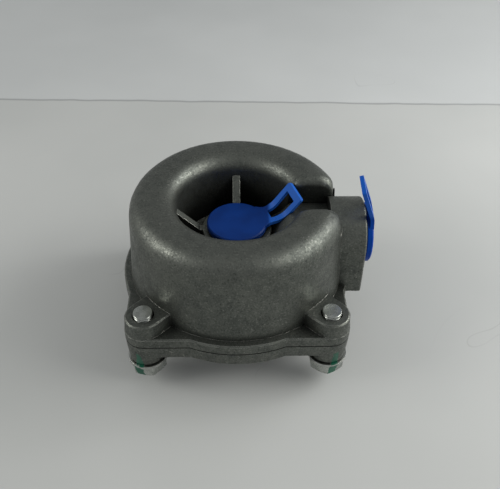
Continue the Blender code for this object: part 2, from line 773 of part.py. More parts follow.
def pilot_passage():
    """Drilled from under the nozzle to the space over the piston."""
    start = Vector((NOZZLE_X, 0, COVER_FLOOR - NOZZLE_BORE_R * 2))
    mouth = Vector((CYLINDER_R, 0, GUIDE_BOTTOM - GAP * 2.5))
    end = start.lerp(mouth, 1.2)
    slanted = cylinder("pilot_passage", NOZZLE_BORE_R, start, end, CUTTERS, segments=TINY_SEGMENTS)
    bottom = (NOZZLE_X, 0, COVER_FLOOR - NOZZLE_BORE_R * 3)
    socket = cylinder("nozzle_socket", NOZZLE_SHANK_R + GAP, bottom, (NOZZLE_X, 0, WALL), CUTTERS)
    return slanted, socket


def rest_posts():
    """Two posts the float comes down on."""
    for sign in (-1, 1):
        a = math.radians(REST_POST_TURN)
        x, y = FLOAT_MID_R * math.cos(a), FLOAT_MID_R * math.sin(a) * sign
        start, end = (x, y, COVER_FLOOR - CAST_ROUND), (x, y, FLOAT_BOTTOM - GAP)
        yield cylinder(f"rest_post_{sign}", REST_POST_R, start, end, CUTTERS, segments=16)


def build_cover():
    cover = turned("cover", cover_outside(), PARTS, closed=False, segments=INNER_SEGMENTS)
    join(cover, cover_flange())
    for turn, x, y in corners():
        join(cover, cover_lug(turn, x, y))
    inside = turned("cover_inside", cover_inside(), CUTTERS, closed=False, segments=INNER_SEGMENTS)
    cut(cover, inside, groove_cutter())
    pad_foot, pad_top = (NOZZLE_X, 0, COVER_FLOOR - CAST_ROUND), (NOZZLE_X, 0, PILOT_PAD_TOP)
    join(cover, cylinder("pilot_pad", PILOT_PAD_R, pad_foot, pad_top, CUTTERS), *rest_posts())
    cut(cover, *pilot_passage())
    vent_out, vent_in = (-HUB_R - WALL, 0, HUB_FLOOR + VENT_R * 2), (0, 0, HUB_FLOOR + VENT_R * 2)
    cut(cover, cylinder("piston_vent", VENT_R, vent_out, vent_in, CUTTERS, segments=TINY_SEGMENTS))
    for x, y in bracket_screw_places():
        start, end = (x, y, COVER_FLOOR - SCREW_BITE), (x, y, WALL)
        cut(cover, cylinder(f"bracket_screw_hole_{y:.0f}", SCREW_R + GAP, start, end, CUTTERS, TINY_SEGMENTS))
    for turn, x, y in corners():
        start, end = (x, y, -COVER_LUG_DEPTH - WALL), (x, y, WALL)
        cut(cover, cylinder(f"cover_bolt_hole_{turn}", BOLT_HOLE_R, start, end, CUTTERS))
    return plain_mesh(cover)


def build_body_seal():
    half = ORING_SECTION / 2
    middle = (ORING_R, -GAP - ORING_SECTION * 0.85 + half)
    flat = [(r, min(z, -GAP / 2)) for r, z in arc(middle, half - GAP / 3, 360, 60, 5)]
    return turned("body_seal", flat, PARTS, segments=INNER_SEGMENTS)


# Main valve


def ring_of_rubber(name, outer_r, height, section):
    """An O-ring in a groove that is open outwards as far as outer_r."""
    profile = arc((outer_r - section / 2, height), (section - GAP) / 2, 360, 60, 5)
    return turned(name, profile, PARTS, segments=PISTON_SEGMENTS)


def build_piston_seal():
    return ring_of_rubber("piston_seal", PISTON_R, -PISTON_TOP - PISTON_T / 2, PISTON_SEAL_SECTION)


def build_guide_seal():
    return ring_of_rubber("guide_seal", GUIDE_R, (GUIDE_TOP + GUIDE_BOTTOM) / 2, GUIDE_SEAL_SECTION)


def build_seat_ring():
    top = SEAT_FACE + SEAT_HEIGHT
    profile = [(SEAT_BORE_R, top), (SEAT_R, top), (SEAT_R, SEAT_FACE + EDGE * 2)]
    profile += [(SEAT_R - EDGE * 2, SEAT_FACE), (SEAT_BORE_R + EDGE, SEAT_FACE)]
    profile += [(SEAT_BORE_R, SEAT_FACE + EDGE)]
    return turned("seat_ring", profile, PARTS, segments=PISTON_SEGMENTS)


def build_main_piston():
    """The piston with its seal groove, the skirt round the spring and the stem up through the guide."""
    groove_mid = -PISTON_TOP - PISTON_T / 2
    groove_half = PISTON_SEAL_SECTION / 2 + GAP / 2
    groove_top, groove_bottom = groove_mid + groove_half, groove_mid - groove_half
    groove_r = PISTON_R - PISTON_SEAL_SECTION + GAP / 3
    spring_top = -PISTON_TOP - PISTON_CROWN_T
    socket_r = DISC_SCREW_R + GAP
    socket_end = STEM_TOP - DISC_SCREW_LENGTH
    profile = [(0, socket_end), (socket_r, socket_end), (socket_r, STEM_TOP), (STEM_R - EDGE, STEM_TOP)]
    profile += [(STEM_R, STEM_TOP - EDGE), (STEM_R, -PISTON_TOP), (PISTON_R - EDGE, -PISTON_TOP)]
    profile += [(PISTON_R, -PISTON_TOP - EDGE), (PISTON_R, groove_top), (groove_r, groove_top)]
    profile += [(groove_r, groove_bottom), (PISTON_R, groove_bottom), (PISTON_R, PISTON_BOTTOM)]
    profile += [(SPRING_SEAT_R, PISTON_BOTTOM), (SPRING_SEAT_R, spring_top), (0, spring_top)]
    return turned("main_piston", profile, PARTS, closed=False, segments=PISTON_SEGMENTS)


def build_stem_guide():
    middle = (GUIDE_TOP + GUIDE_BOTTOM) / 2
    groove_top = middle + GUIDE_SEAL_SECTION / 2 + GAP / 2
    groove_bottom = middle - GUIDE_SEAL_SECTION / 2 - GAP / 2
    groove_r = GUIDE_R - GUIDE_SEAL_SECTION + GAP / 3
    bore_r = STEM_R + GAP
    profile = [(bore_r, GUIDE_TOP), (GUIDE_R, GUIDE_TOP), (GUIDE_R, groove_top), (groove_r, groove_top)]
    profile += [(groove_r, groove_bottom), (GUIDE_R, groove_bottom), (GUIDE_R, GUIDE_BOTTOM)]
    return turned("stem_guide", [*profile, (bore_r, GUIDE_BOTTOM)], PARTS, segments=PISTON_SEGMENTS)


def build_snap_ring():
    """A spring ring with a gap and two wider ends."""
    start = SNAP_RING_GAP_TURN
    shoulder = start + SNAP_RING_EAR_TURN
    outer, inner, ear_r = GUIDE_R + SNAP_RING_REACH, GUIDE_R - SNAP_RING_WIDTH, GUIDE_R - SNAP_RING_EAR
    outline = arc((0, 0), outer, start, 360 - start, 30)
    outline += arc((0, 0), ear_r, 360 - start, 360 - shoulder, 2)
    outline += arc((0, 0), inner, 360 - shoulder, shoulder, 26)
    outline += arc((0, 0), ear_r, shoulder, start, 2)
    bottom = GUIDE_TOP + GAP * 1.5
    return plate("guide_snap_ring", [outline], bottom, bottom + SNAP_RING_T, PARTS)


def build_disc_holder():
    """The cup that holds the rubber valve disc on the stem."""
    cup_r = VALVE_DISC_R + GAP
    outer = cup_r + HOLDER_RIM_T
    floor = HOLDER_BOTTOM + HOLDER_T
    rim_top = DISC_TOP - VALVE_DISC_T * 0.35
    hole_r = DISC_SCREW_R + GAP
    profile = [(hole_r, HOLDER_BOTTOM), (hole_r, floor), (cup_r, floor), (cup_r, rim_top), (outer, rim_top)]
    return turned("disc_holder", [*profile, (outer, HOLDER_BOTTOM)], PARTS, segments=PISTON_SEGMENTS)


def build_valve_disc():
    hole_r = DISC_SCREW_R + GAP
    profile = [(hole_r, DISC_TOP), (VALVE_DISC_R, DISC_TOP), (VALVE_DISC_R, DISC_BOTTOM)]
    profile.append((hole_r, DISC_BOTTOM))
    return turned("valve_disc", profile, PARTS, segments=PISTON_SEGMENTS)


def slotted_screw(name, place, radius, length, head_r, head_h):
    """A slotted pan-head screw; `place` is the middle under its head, and a negative length points it up."""
    x, y, z = place
    way = 1 if length > 0 else -1
    round_off = head_h / 2.2
    end = -abs(length)
    outline = [(0, head_h), (head_r - round_off, head_h), (head_r, head_h - round_off), (head_r, 0)]
    outline += [(radius, 0), (radius, end + radius / 4), (radius * 0.75, end), (0, end)]
    if way < 0:
        outline = [(r, -h) for r, h in outline][::-1]
    screw = turned(name, outline, PARTS, closed=False, segments=16, at=place)
    top = z + head_h * way
    low, high = sorted((top - way * head_h * 0.45, top + way * head_h))
    reach, slot_half = head_r * 1.2, radius * 0.24
    slot = box(name + "_slot", (x - reach, y - slot_half, low), (x + reach, y + slot_half, high), CUTTERS)
    cut(screw, slot)
    return plain_mesh(screw)


def build_spring():
    """A compression spring from the hub's floor to the piston."""
    low = HUB_FLOOR + GAP + SPRING_WIRE_R
    high = -PISTON_TOP - PISTON_CROWN_T - GAP - SPRING_WIRE_R
    steps = round(SPRING_TURNS * 14)
    curve = bpy.data.curves.new("piston_spring", "CURVE")
    curve.dimensions = "3D"
    curve.bevel_depth = SPRING_WIRE_R * MM
    curve.bevel_resolution = 2
    curve.use_fill_caps = True
    spline = curve.splines.new("POLY")
    spline.points.add(steps)
    for i, point in enumerate(spline.points):
        a = 2 * math.pi * SPRING_TURNS * i / steps
        place = to_world((SPRING_R * math.cos(a), SPRING_R * math.sin(a), low + (high - low) * i / steps))
        point.co = (*place, 1)
    spring = bpy.data.objects.new("piston_spring", curve)
    PARTS.objects.link(spring)
    return spring


# Pilot valve and float


def build_pilot_nozzle():
    bottom = PILOT_PAD_TOP + GAP
    shank_end = COVER_FLOOR - GAP
    step = NOZZLE_TOP - EDGE * 2
    profile = [(NOZZLE_BORE_R, NOZZLE_TOP), (NOZZLE_BORE_R + EDGE, NOZZLE_TOP), (NOZZLE_R - EDGE, step)]
    profile += [(NOZZLE_R, step), (NOZZLE_R, bottom), (NOZZLE_SHANK_R, bottom)]
    profile += [(NOZZLE_SHANK_R, shank_end), (NOZZLE_BORE_R, shank_end)]
    return turned("pilot_nozzle", profile, PARTS, segments=SMALL_SEGMENTS, at=(NOZZLE_X, 0, 0))


def build_pilot_needle():
    """The needle hangs in the lever's slot between its collar and its head."""
    collar_top = LEVER_BOTTOM - GAP
    collar_bottom = collar_top - NEEDLE_COLLAR_T
    head_bottom = LEVER_TOP + GAP
    head_top = head_bottom + NEEDLE_COLLAR_T
    tip = NOZZLE_TOP + GAP
    profile = [(0, head_top), (NEEDLE_COLLAR_R, head_top), (NEEDLE_COLLAR_R, head_bottom)]
    profile += [(NEEDLE_NECK_R, head_bottom), (NEEDLE_NECK_R, collar_top), (NEEDLE_COLLAR_R, collar_top)]
    profile += [(NEEDLE_COLLAR_R, collar_bottom), (NEEDLE_R, collar_bottom), (NEEDLE_R, tip + NEEDLE_R)]
    profile += [(NOZZLE_BORE_R / 2, tip), (0, tip)]
    return turned("pilot_needle", profile, PARTS, closed=False, segments=SMALL_SEGMENTS, at=(NOZZLE_X, 0, 0))


def float_screw_places():
    for sign in (-1, 1):
        a = math.radians(FLOAT_OPENING_TURN / 2 + FLOAT_SCREW_TURN)
        yield FLOAT_MID_R * math.cos(a), sign * FLOAT_MID_R * math.sin(a)


def bracket_screw_places():
    for sign in (-1, 1):
        yield BRACKET_SCREW_X, sign * BRACKET_SCREW_Y


def ear(name, faces, start, end, far_z):
    """An upright ear with a round end about the pivot and a straight end at far_z; faces are its y values."""
    outline = [(PIVOT_X + x, z) for x, z in arc((0, PIVOT_Z), EAR_HALF, start, end, 8)]
    outline += [(outline[-1][0], far_z), (outline[0][0], far_z)]
    return loft(name, [[(x, y, z) for x, z in outline] for y in faces], CUTTERS)


def build_float():
    """A horseshoe float, open round the side passage, with rounded edges."""
    start = FLOAT_OPENING_TURN / 2
    outline = arc((0, 0), FLOAT_OUTER_R, start, 360 - start, 40)
    outline += arc((0, 0), FLOAT_INNER_R, 360 - start, start, 40)
    solid = plate("float", [outline], FLOAT_BOTTOM, FLOAT_BOTTOM + FLOAT_H, PARTS)
    bevel = solid.modifiers.new("edges", "BEVEL")
    bevel.width = FLOAT_ROUND * MM
    bevel.segments = 1
    bevel.limit_method = "ANGLE"
    bevel.angle_limit = math.radians(50)
    for i, (x, y) in enumerate(float_screw_places()):
        start, end = (x, y, FLOAT_BOTTOM - GAP), (x, y, FLOAT_BOTTOM + SCREW_LENGTH + GAP - LEVER_T)
        cut(solid, cylinder(f"float_screw_hole_{i}", SCREW_R + GAP, start, end, CUTTERS, TINY_SEGMENTS))
    return plain_mesh(solid)


def build_float_lever():
    """Sheet steel: arms round to the float's ends, a tongue with the needle's slot, two ears on the pin."""
    arm = FLOAT_OPENING_TURN / 2 + FLOAT_SCREW_TURN * 1.6
    inner, outer = FLOAT_INNER_R, FLOAT_OUTER_R - LEVER_T
    tongue = NOZZLE_X - NEEDLE_COLLAR_R * 1.5
    turn = math.degrees(math.asin(LEVER_HALF / inner))
    outline = arc((0, 0), outer, -arm, arm, 24)
    outline += arc((0, 0), inner, arm, turn, 10)
    outline += [(tongue, LEVER_HALF * 0.7), (tongue, -LEVER_HALF * 0.7)]
    outline += arc((0, 0), inner, -turn, -arm, 10)
    lever = plate("float_lever", [outline], LEVER_BOTTOM, LEVER_TOP, PARTS)
    for sign in (-1, 1):
        faces = (sign * LEVER_HALF, sign * (LEVER_HALF - LEVER_T))
        join(lever, ear(f"lever_ear_{sign}", faces, 180, 360, LEVER_TOP - LEVER_T / 4))
    reach = LEVER_HALF * 2
    start, end = (PIVOT_X, -reach, PIVOT_Z), (PIVOT_X, reach, PIVOT_Z)
    cut(lever, cylinder("lever_pin_hole", PIVOT_R + GAP, start, end, CUTTERS))
    half = NEEDLE_NECK_R + GAP * 1.5
    top = LEVER_TOP + WALL
    slot = [(tongue - WALL, -half), *arc((NOZZLE_X, 0), half, -90, 90, 8), (tongue - WALL, half)]
    cut(lever, plate("needle_slot", [slot], PIVOT_Z, top, CUTTERS))
    for i, (x, y) in enumerate(float_screw_places()):
        start, end = (x, y, PIVOT_Z), (x, y, top)
        cut(lever, cylinder(f"lever_screw_hole_{i}", SCREW_R + GAP, start, end, CUTTERS, TINY_SEGMENTS))
    return plain_mesh(lever)


def build_lever_bracket():
    """A folded bracket: a foot on the cover's floor and two ears that hold the pin."""
    foot = COVER_FLOOR + GAP
    half = LEVER_HALF + GAP * 2 + BRACKET_T
    low = (BRACKET_SCREW_X - BRACKET_REACH, -half, foot)
    high = (BRACKET_SCREW_X + SCREW_R * 2, half, foot + BRACKET_T)
    bracket = box("lever_bracket", low, high, PARTS)
    for sign in (-1, 1):
        faces = (sign * (half - BRACKET_T / 20), sign * (half - BRACKET_T))
        join(bracket, ear(f"bracket_ear_{sign}", faces, 0, 180, foot + BRACKET_T / 4))
    reach = half * 2
    start, end = (PIVOT_X, -reach, PIVOT_Z), (PIVOT_X, reach, PIVOT_Z)
    cut(bracket, cylinder("bracket_pin_hole", PIVOT_R + GAP, start, end, CUTTERS))
    for i, (x, y) in enumerate(bracket_screw_places()):
        start, end = (x, y, foot - WALL), (x, y, foot + BRACKET_T * 2)
        cut(bracket, cylinder(f"bracket_hole_{i}", SCREW_R + GAP, start, end, CUTTERS, TINY_SEGMENTS))
    return plain_mesh(bracket)


def build_pivot_pin():
    """A pin with a head at each end, outside the bracket's ears."""
    half = LEVER_HALF + GAP * 2 + BRACKET_T + GAP
    head = half + PIVOT_R * 0.8
    head_r = PIVOT_R * 1.7
    profile = [(0, head), (head_r, head), (head_r, half), (PIVOT_R, half), (PIVOT_R, -half), (head_r, -half)]
    profile += [(head_r, -head), (0, -head)]
    place = (PIVOT_X, 0, PIVOT_Z)
    return turned("pivot_pin", profile, PARTS, closed=False, segments=16, at=place, axis="Y")


# Bolts


def build_bolt(index, x, y):
    """A hexagon bolt from below, its end showing over the lug."""
    round_r = BOLT_HEAD_AF / math.sqrt(3)
    bottom = BOLT_SEAT - BOLT_HEAD_H
    hexagon = circle((0, 0), round_r, 6)
    a = math.radians(BOLT_TURNS[index - 1])
    c, s = math.cos(a), math.sin(a)
    hexagon = [(px * c - py * s, px * s + py * c) for px, py in hexagon]
    rings = [[(x + px, y + py, z) for px, py in hexagon] for z in (bottom, BOLT_SEAT)]
    bolt = loft(f"cover_bolt_{index}", rings, PARTS)
    far_r = round_r + BOLT_CHAMFER
    flat_r = BOLT_HEAD_AF / 2 - GAP
    skin = [(0, BOLT_SEAT + BOLT_CHAMFER), (far_r, BOLT_SEAT + BOLT_CHAMFER), (far_r, bottom + BOLT_CHAMFER)]
    skin += [(flat_r, bottom), (0, bottom)]
    place = (x, y, 0)
    dome = turned(f"bolt_dome_{index}", skin, CUTTERS, closed=False, segments=SMALL_SEGMENTS, at=place)
    boolean(bolt, dome, "INTERSECT")
    inside = BOLT_SEAT - BOLT_CHAMFER
    shank = [(0, BOLT_END), (BOLT_R - BOLT_CHAMFER, BOLT_END), (BOLT_R, BOLT_END - BOLT_CHAMFER)]
    shank += [(BOLT_R, inside), (0, inside)]
    bar = turned(f"bolt_shank_{index}", shank, CUTTERS, closed=False, segments=SMALL_SEGMENTS, at=place)
    join(bolt, bar)
    return set_origin(plain_mesh(bolt), (x, y, BOLT_SEAT))


def build_washer(index, x, y):
    top = -COVER_LUG_DEPTH - GAP
    profile = [(BOLT_HOLE_R, top), (WASHER_R, top), (WASHER_R, top - WASHER_T), (BOLT_HOLE_R, top - WASHER_T)]
    return turned(f"bolt_washer_{index}", profile, PARTS, segments=SMALL_SEGMENTS, at=(x, y, 0))


# Shipping plugs, drawn along +Z with the tab towards +X


def tab_point(out, across, bend, skew):
    """Where a point of the flat tab goes when it bends about a line past the rim, `skew` off square."""
    turn, skew = math.radians(abs(bend)), math.radians(skew)
    c, s = math.cos(skew), math.sin(skew)
    along, aside = out * c + across * s, across * c - out * s
    angle = min(turn, max(0.0, (along - PLUG_HEAD_R) / TAB_BEND_R))
    straight = max(0.0, along - PLUG_HEAD_R - TAB_BEND_R * turn)
    reach = min(along, PLUG_HEAD_R) + TAB_BEND_R * math.sin(angle) + straight * math.cos(turn)
    up = TAB_BEND_R * (1 - math.cos(angle)) + straight * math.sin(turn)
    return reach * c - aside * s, reach * s + aside * c, math.copysign(up, bend)


def tab_half_width(out):
    """The tab narrows from the head's rim to an even width, and its tip has small round corners."""
    share = min(1.0, max(0.0, 1 - (out - TAB_NECK_START) / TAB_NECK_RUN))
    width = TAB_HALF + (TAB_NECK_HALF - TAB_HALF) * share**2
    short = TAB_CORNER_R - min(TAB_CORNER_R, TAB_LENGTH - out)
    return width - TAB_CORNER_R + math.sqrt(TAB_CORNER_R**2 - short**2)


def hole_half_width(out):
    """The finger hole widens a little outwards."""
    share = (out - TAB_HOLE_START) / (TAB_HOLE_END - TAB_HOLE_START)
    share = min(1.0, max(0.0, share))
    return TAB_HOLE_INNER_HALF + (TAB_HOLE_OUTER_HALF - TAB_HOLE_INNER_HALF) * share


def tab_stations():
    """Distances from the plug's axis at which the tab's outline has points."""
    run = TAB_HOLE_END - TAB_HOLE_START
    neck = [TAB_NECK_START + TAB_NECK_RUN * k for k in (-0.5, 0, 0.25, 0.5, 0.75)]
    middle = [TAB_HOLE_START + run * i / 9 for i in range(10)]
    tip = [TAB_LENGTH - TAB_CORNER_R * k for k in (1, 0.5, 0.15, 0)]
    return [*neck, *middle, *tip]


def pull_tab(name, bend, skew, height):
    """The loop of the pull tab as a sheet in the middle of its thickness, then made solid."""
    bm = bmesh.new()
    stations = tab_stations()
    rows = []
    for out in stations:
        outer, hole = tab_half_width(out), hole_half_width(out)
        points = [Vector(tab_point(out, y, bend, skew)) for y in (-outer, -hole, hole, outer)]
        rows.append([bm.verts.new((point + Vector((0, 0, height))) * MM) for point in points])
    for i in range(len(rows) - 1):
        open_here = TAB_HOLE_START <= stations[i] and stations[i + 1] <= TAB_HOLE_END
        for j in (0, 1, 2):
            if j == 1 and open_here:
                continue
            bm.faces.new((rows[i][j], rows[i + 1][j], rows[i + 1][j + 1], rows[i][j + 1]))
    mesh = bpy.data.meshes.new(name)
    bm.to_mesh(mesh)
    bm.free()
    tab = link(name, mesh, CUTTERS)
    solid = tab.modifiers.new("thickness", "SOLIDIFY")
    solid.thickness = TAB_T * MM
    solid.offset = 0
    return tab


def build_plug(name, bend, skew, turn, place):
    """A push-in plug: a flat head, a hollow stem and a pull tab, drawn at the origin, then set in its port."""
    stem_r = PORT_BORE_R - GAP
    inner_r = stem_r - PLUG_STEM_WALL
    end = -PLUG_STEM_LENGTH
    top = GAP + PLUG_HEAD_T
    profile = [(0, top), (PLUG_HEAD_R - EDGE, top), (PLUG_HEAD_R, top - EDGE), (PLUG_HEAD_R, GAP + EDGE)]
    profile += [(PLUG_HEAD_R - EDGE, GAP), (stem_r, GAP), (stem_r, end + EDGE * 2), (stem_r - EDGE, end)]
    profile += [(inner_r, end), (inner_r, GAP), (0, GAP)]
    plug = turned(name, profile, PARTS, closed=False, segments=INNER_SEGMENTS)
    plug.location = (0, 0, 0)
    join(plug, pull_tab(name + "_tab", bend, skew, top - TAB_T / 2))
    plain_mesh(plug)
    plug.location = to_world(place)
    plug.rotation_euler = turn.to_euler()
    return plug


def build_outlet_plug():
    turn = Matrix.Rotation(math.radians(OUTLET_TAB_TURN), 3, "Z")
    return build_plug("outlet_plug", OUTLET_TAB_BEND, OUTLET_TAB_SKEW, turn, (0, 0, BOSS_TOP))


def build_inlet_plug():
    """Its axis points along +X, and its tab points up."""
    about_axis = Matrix.Rotation(math.radians(180 - INLET_TAB_TURN), 3, "Z")
    turn = Matrix.Rotation(math.radians(90), 3, "Y") @ about_axis
    return build_plug("inlet_plug", INLET_TAB_BEND, INLET_TAB_SKEW, turn, (INLET_FACE_X, 0, PASSAGE_Z))


# The whole valve


def build_casing():
    body, cover = build_body(), build_cover()
    seals = [build_body_seal(), build_guide_seal()]
    rings = [build_seat_ring(), build_snap_ring(), build_spring()]
    bracket = [build_lever_bracket(), build_pivot_pin()]
    for i, (x, y) in enumerate(bracket_screw_places(), 1):
        place = (x, y, COVER_FLOOR + BRACKET_T + GAP * 2)
        length = BRACKET_T + SCREW_BITE + GAP
        sizes = (SCREW_R, length, SCREW_HEAD_R, SCREW_HEAD_H)
        bracket.append(slotted_screw(f"bracket_screw_{i}", place, *sizes))
    bolts = []
    for i, (turn, x, y) in enumerate(corners(), 1):
        bolts += [build_bolt(i, x, y), build_washer(i, x, y)]
    dress("cast_aluminium", body, cover)
    dress("black_rubber", *seals)
    dress("stainless_sheet", *rings, *bracket)
    dress("brass", build_stem_guide(), build_pilot_nozzle())
    dress("zinc_steel", *bolts)


def build_main_valve():
    """The piston and what rides on its stem, sliding on the valve's axis."""
    piston, seal = build_main_piston(), build_piston_seal()
    holder, disc = build_disc_holder(), build_valve_disc()
    length = DISC_SCREW_LENGTH + DISC_TOP - STEM_TOP
    place = (0, 0, DISC_TOP + GAP)
    screw = slotted_screw("disc_screw", place, DISC_SCREW_R, length, DISC_SCREW_HEAD_R, DISC_SCREW_HEAD_H)
    dress("brass", piston, holder)
    dress("black_rubber", seal, disc)
    dress("stainless_sheet", screw)
    group("main_valve", (0, 0, STEM_TOP), piston, seal, holder, disc, screw)


def build_float_arm():
    """The float on its lever, turning about the pivot pin's axis."""
    pivot = (PIVOT_X, 0, PIVOT_Z)
    float_body, lever = set_origin(build_float(), pivot), set_origin(build_float_lever(), pivot)
    screws = []
    for i, (x, y) in enumerate(float_screw_places(), 1):
        place = (x, y, LEVER_BOTTOM - GAP)
        sizes = (SCREW_R, -SCREW_LENGTH, SCREW_HEAD_R, SCREW_HEAD_H)
        screws.append(set_origin(slotted_screw(f"float_screw_{i}", place, *sizes), pivot))
    dress("float_plastic", float_body)
    dress("stainless_sheet", lever, *screws)
    group("float_arm", pivot, float_body, lever, *screws)


def build_needle():
    needle = build_pilot_needle()
    dress("stainless_sheet", needle)
    group("needle", (NOZZLE_X, 0, NOZZLE_TOP), needle)


def build_caps():
    """The plugs, each sliding out along its own port."""
    outlet, inlet = build_outlet_plug(), build_inlet_plug()
    dress("blue_plastic", outlet, inlet)
    group("outlet_cap", (0, 0, BOSS_TOP), outlet)
    group("inlet_cap", (INLET_FACE_X, 0, PASSAGE_Z), inlet)


build_casing()
build_main_valve()
build_float_arm()
build_needle()
build_caps()
for part in PARTS.objects:
    if part.type == "MESH":
        smooth(part)
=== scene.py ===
"""The looks of an automatic drain valve: a die-cast ring on a square cover, with blue plugs in its ports."""

import json
import math

import bmesh
import bpy
from mathutils import Matrix, Vector


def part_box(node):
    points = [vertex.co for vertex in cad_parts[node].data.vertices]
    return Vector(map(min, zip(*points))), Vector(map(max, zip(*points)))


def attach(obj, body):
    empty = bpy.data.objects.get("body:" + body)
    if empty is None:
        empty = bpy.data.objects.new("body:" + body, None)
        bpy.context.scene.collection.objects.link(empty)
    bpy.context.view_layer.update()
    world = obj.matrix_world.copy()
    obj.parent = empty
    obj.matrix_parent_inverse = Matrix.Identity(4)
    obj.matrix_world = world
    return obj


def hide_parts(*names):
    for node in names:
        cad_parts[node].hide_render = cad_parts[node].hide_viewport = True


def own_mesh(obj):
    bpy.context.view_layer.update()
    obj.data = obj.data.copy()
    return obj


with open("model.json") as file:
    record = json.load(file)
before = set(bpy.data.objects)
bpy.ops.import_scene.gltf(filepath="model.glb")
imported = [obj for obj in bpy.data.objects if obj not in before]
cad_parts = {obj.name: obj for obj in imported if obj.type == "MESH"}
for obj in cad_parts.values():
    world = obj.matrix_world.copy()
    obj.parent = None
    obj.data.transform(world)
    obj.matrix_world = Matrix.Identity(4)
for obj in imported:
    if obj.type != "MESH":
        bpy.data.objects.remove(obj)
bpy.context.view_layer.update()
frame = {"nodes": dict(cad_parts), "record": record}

# Lengths are in millimetres, and are turned into Blender's metres where they are used
MM = 0.001

# The camera, fitted to the photograph's perspective
IMAGE_WIDTH = 500
IMAGE_HEIGHT = 489
FOCAL_PIXELS = 660.0
CAMERA_DOWN = math.radians(41.63)
CAMERA_YAW = math.radians(2.12)
CAMERA_ROLL = math.radians(1.02)
CAMERA_DISTANCE = 290.59
AIM_HEIGHT = 26.0
AIM_PIXEL = (236.82, 268.06)
SENSOR_WIDTH = 36.0
NEAR_CLIP = 5.0

# The lamps: a strong soft one from the right, a weaker one from the left, and a low one behind on the right.
# Each has its name, place, what it faces, size, watts and colour
LAMPS = (
    ("key_right", (640.0, -60.0, 420.0), (0.0, 0.0, 30.0), (600.0, 520.0), 4.0, (1.0, 1.0, 0.95)),
    ("fill_left", (-620.0, -80.0, 380.0), (0.0, 0.0, 30.0), (360.0, 340.0), 1.9, (1.0, 0.99, 0.94)),
    ("low_right", (350.0, 150.0, 250.0), (150.0, 150.0, 0.0), (200.0, 160.0), 0.42, (1.0, 1.0, 1.0)),
)
ROOM_GREY = (0.36, 0.37, 0.37)

# The floor is a pale sheet on a pale table. The sheet's back edge crosses behind the valve and wavers, and a
# thin shadow is painted along it
FLOOR_HALF = 1500.0
SHEET_EDGE_Y = 191.0
SHEET_EDGE_SLOPE = -0.024
SHEET_EDGE_WAVER = 5.0
SHEET_DARK = (0.465, 0.475, 0.470)
SHEET_LIGHT = (0.505, 0.513, 0.508)
TABLE_DARK = (0.500, 0.513, 0.518)
TABLE_LIGHT = (0.540, 0.553, 0.558)
SHEET_EDGE_SHADOW = (0.17, 0.175, 0.18)
HAIRLINE_GREY = (0.3, 0.3, 0.3)

# The bolts, and how far each is turned, in degrees
THREAD_PITCH = 1.25
THREAD_DEPTH = 0.72
THREAD_LENGTH = 22.0
SHANK_R = 3.9
END_CHAMFER = 0.3
HEAD_HEIGHT = 5.3
HEAD_ACROSS = 13.0
HEAD_FACE_INSET = 0.15
HEAD_CHAMFER_SLOPE = math.tan(math.radians(30))
HEAD_CHAMFER_ROWS = 5
HEAD_NECK_HEIGHT = 0.5
HEAD_NECK_INSET = 0.35
BOLT_COLUMNS = 48
ROWS_PER_TURN = 6
BOLT_TURNS = {"cover_bolt_1": 10, "cover_bolt_2": 48, "cover_bolt_3": 18, "cover_bolt_4": 0}

# Split facets closer than this are joined, and two that meet at more than the angle keep a hard edge
MERGE_DISTANCE = 0.002
SHARP_ANGLE = math.radians(32)

# The side passage's roof, from the well outwards: place along X, half width, edge's height, crown's height
ROOF_STATIONS = (
    (13.7, 6.0, 46.0, 46.9),
    (14.2, 6.8, 46.7, 47.7),
    (17.9, 7.8, 50.8, 51.7),
    (21.6, 8.38, 54.7, 55.7),
    (22.3, 8.42, 55.2, 56.05),
    (23.4, 8.42, 55.5, 56.25),
    (30.0, 8.42, 55.6, 56.25),
    (38.2, 8.42, 55.6, 56.25),
)
ROOF_COLUMNS = 16
ROOF_FOOT = 45.0

# The painted shade in hollows is weaker on faces that look up, for the light that falls on them: weaker by
# nothing at the low height, and by this share at the high one
SHELF_LOW = 43.0
SHELF_HIGH = 48.0
SHELF_LIGHTENING = 0.80

# The seam between the body's flange and the cover's
SEAM_Z = 25.85

# The paint strokes on the front bolts: middle at the height MARK_LEVEL, lean, half width there, how fast the
# half width shrinks with height, lowest and highest point. Paint shows only in front of MARK_FRONT
MARK_LEVEL = 13.0
STROKES = (
    (-39.1, -0.04, 1.65, 0.12, 13.6, 21.2),
    (-40.6, -0.22, 1.55, 0.00, 6.5, 12.9),
    (39.0, 0.02, 1.45, 0.06, 13.6, 20.6),
    (39.0, 0.12, 1.85, 0.00, 6.5, 12.9),
)
MARK_FRONT = -36.0
MARK_RAGGEDNESS = 1.6
MARK_SIDE_BLUR = 0.15
MARK_END_BLUR = 0.4
MARK_FRONT_BLUR = 0.3
PAINT_GREEN = (0.006, 0.088, 0.050)

# The casting's colours, with the dark of its seam and the painted shade of its hollows and corners
CAST_DARK = (0.100, 0.107, 0.098)
CAST_LIGHT = (0.136, 0.144, 0.130)
CAST_BLOTCH = (0.146, 0.152, 0.137)
CAST_FLOW_MARK = (0.190, 0.196, 0.178)
CAST_BRIGHT_GRAIN = (0.260, 0.265, 0.240)
CAST_DARK_GRAIN = (0.036, 0.040, 0.036)
CAST_DING = (0.34, 0.34, 0.31)
CAST_WORN_EDGE = (0.50, 0.50, 0.46)
CAST_PAINTED_SHADE = (0.012, 0.013, 0.012)
CAST_SEAM_AND_CORNER_SHADE = (0.008, 0.009, 0.008)
CAST_METALLIC = 0.94

# The plugs' thin tabs are painted a lighter blue, for the light that shines through them: that colour, and
# the stretch of an axis where it takes over
TOP_TAB_GLOW = ((0.016, 0.118, 0.52), "X", 12.6, 14.5)
SIDE_TAB_GLOW = ((0.010, 0.092, 0.46), "Z", 59.5, 62.0)

# Rays for each shader node that looks round itself
NODE_SAMPLES = 6

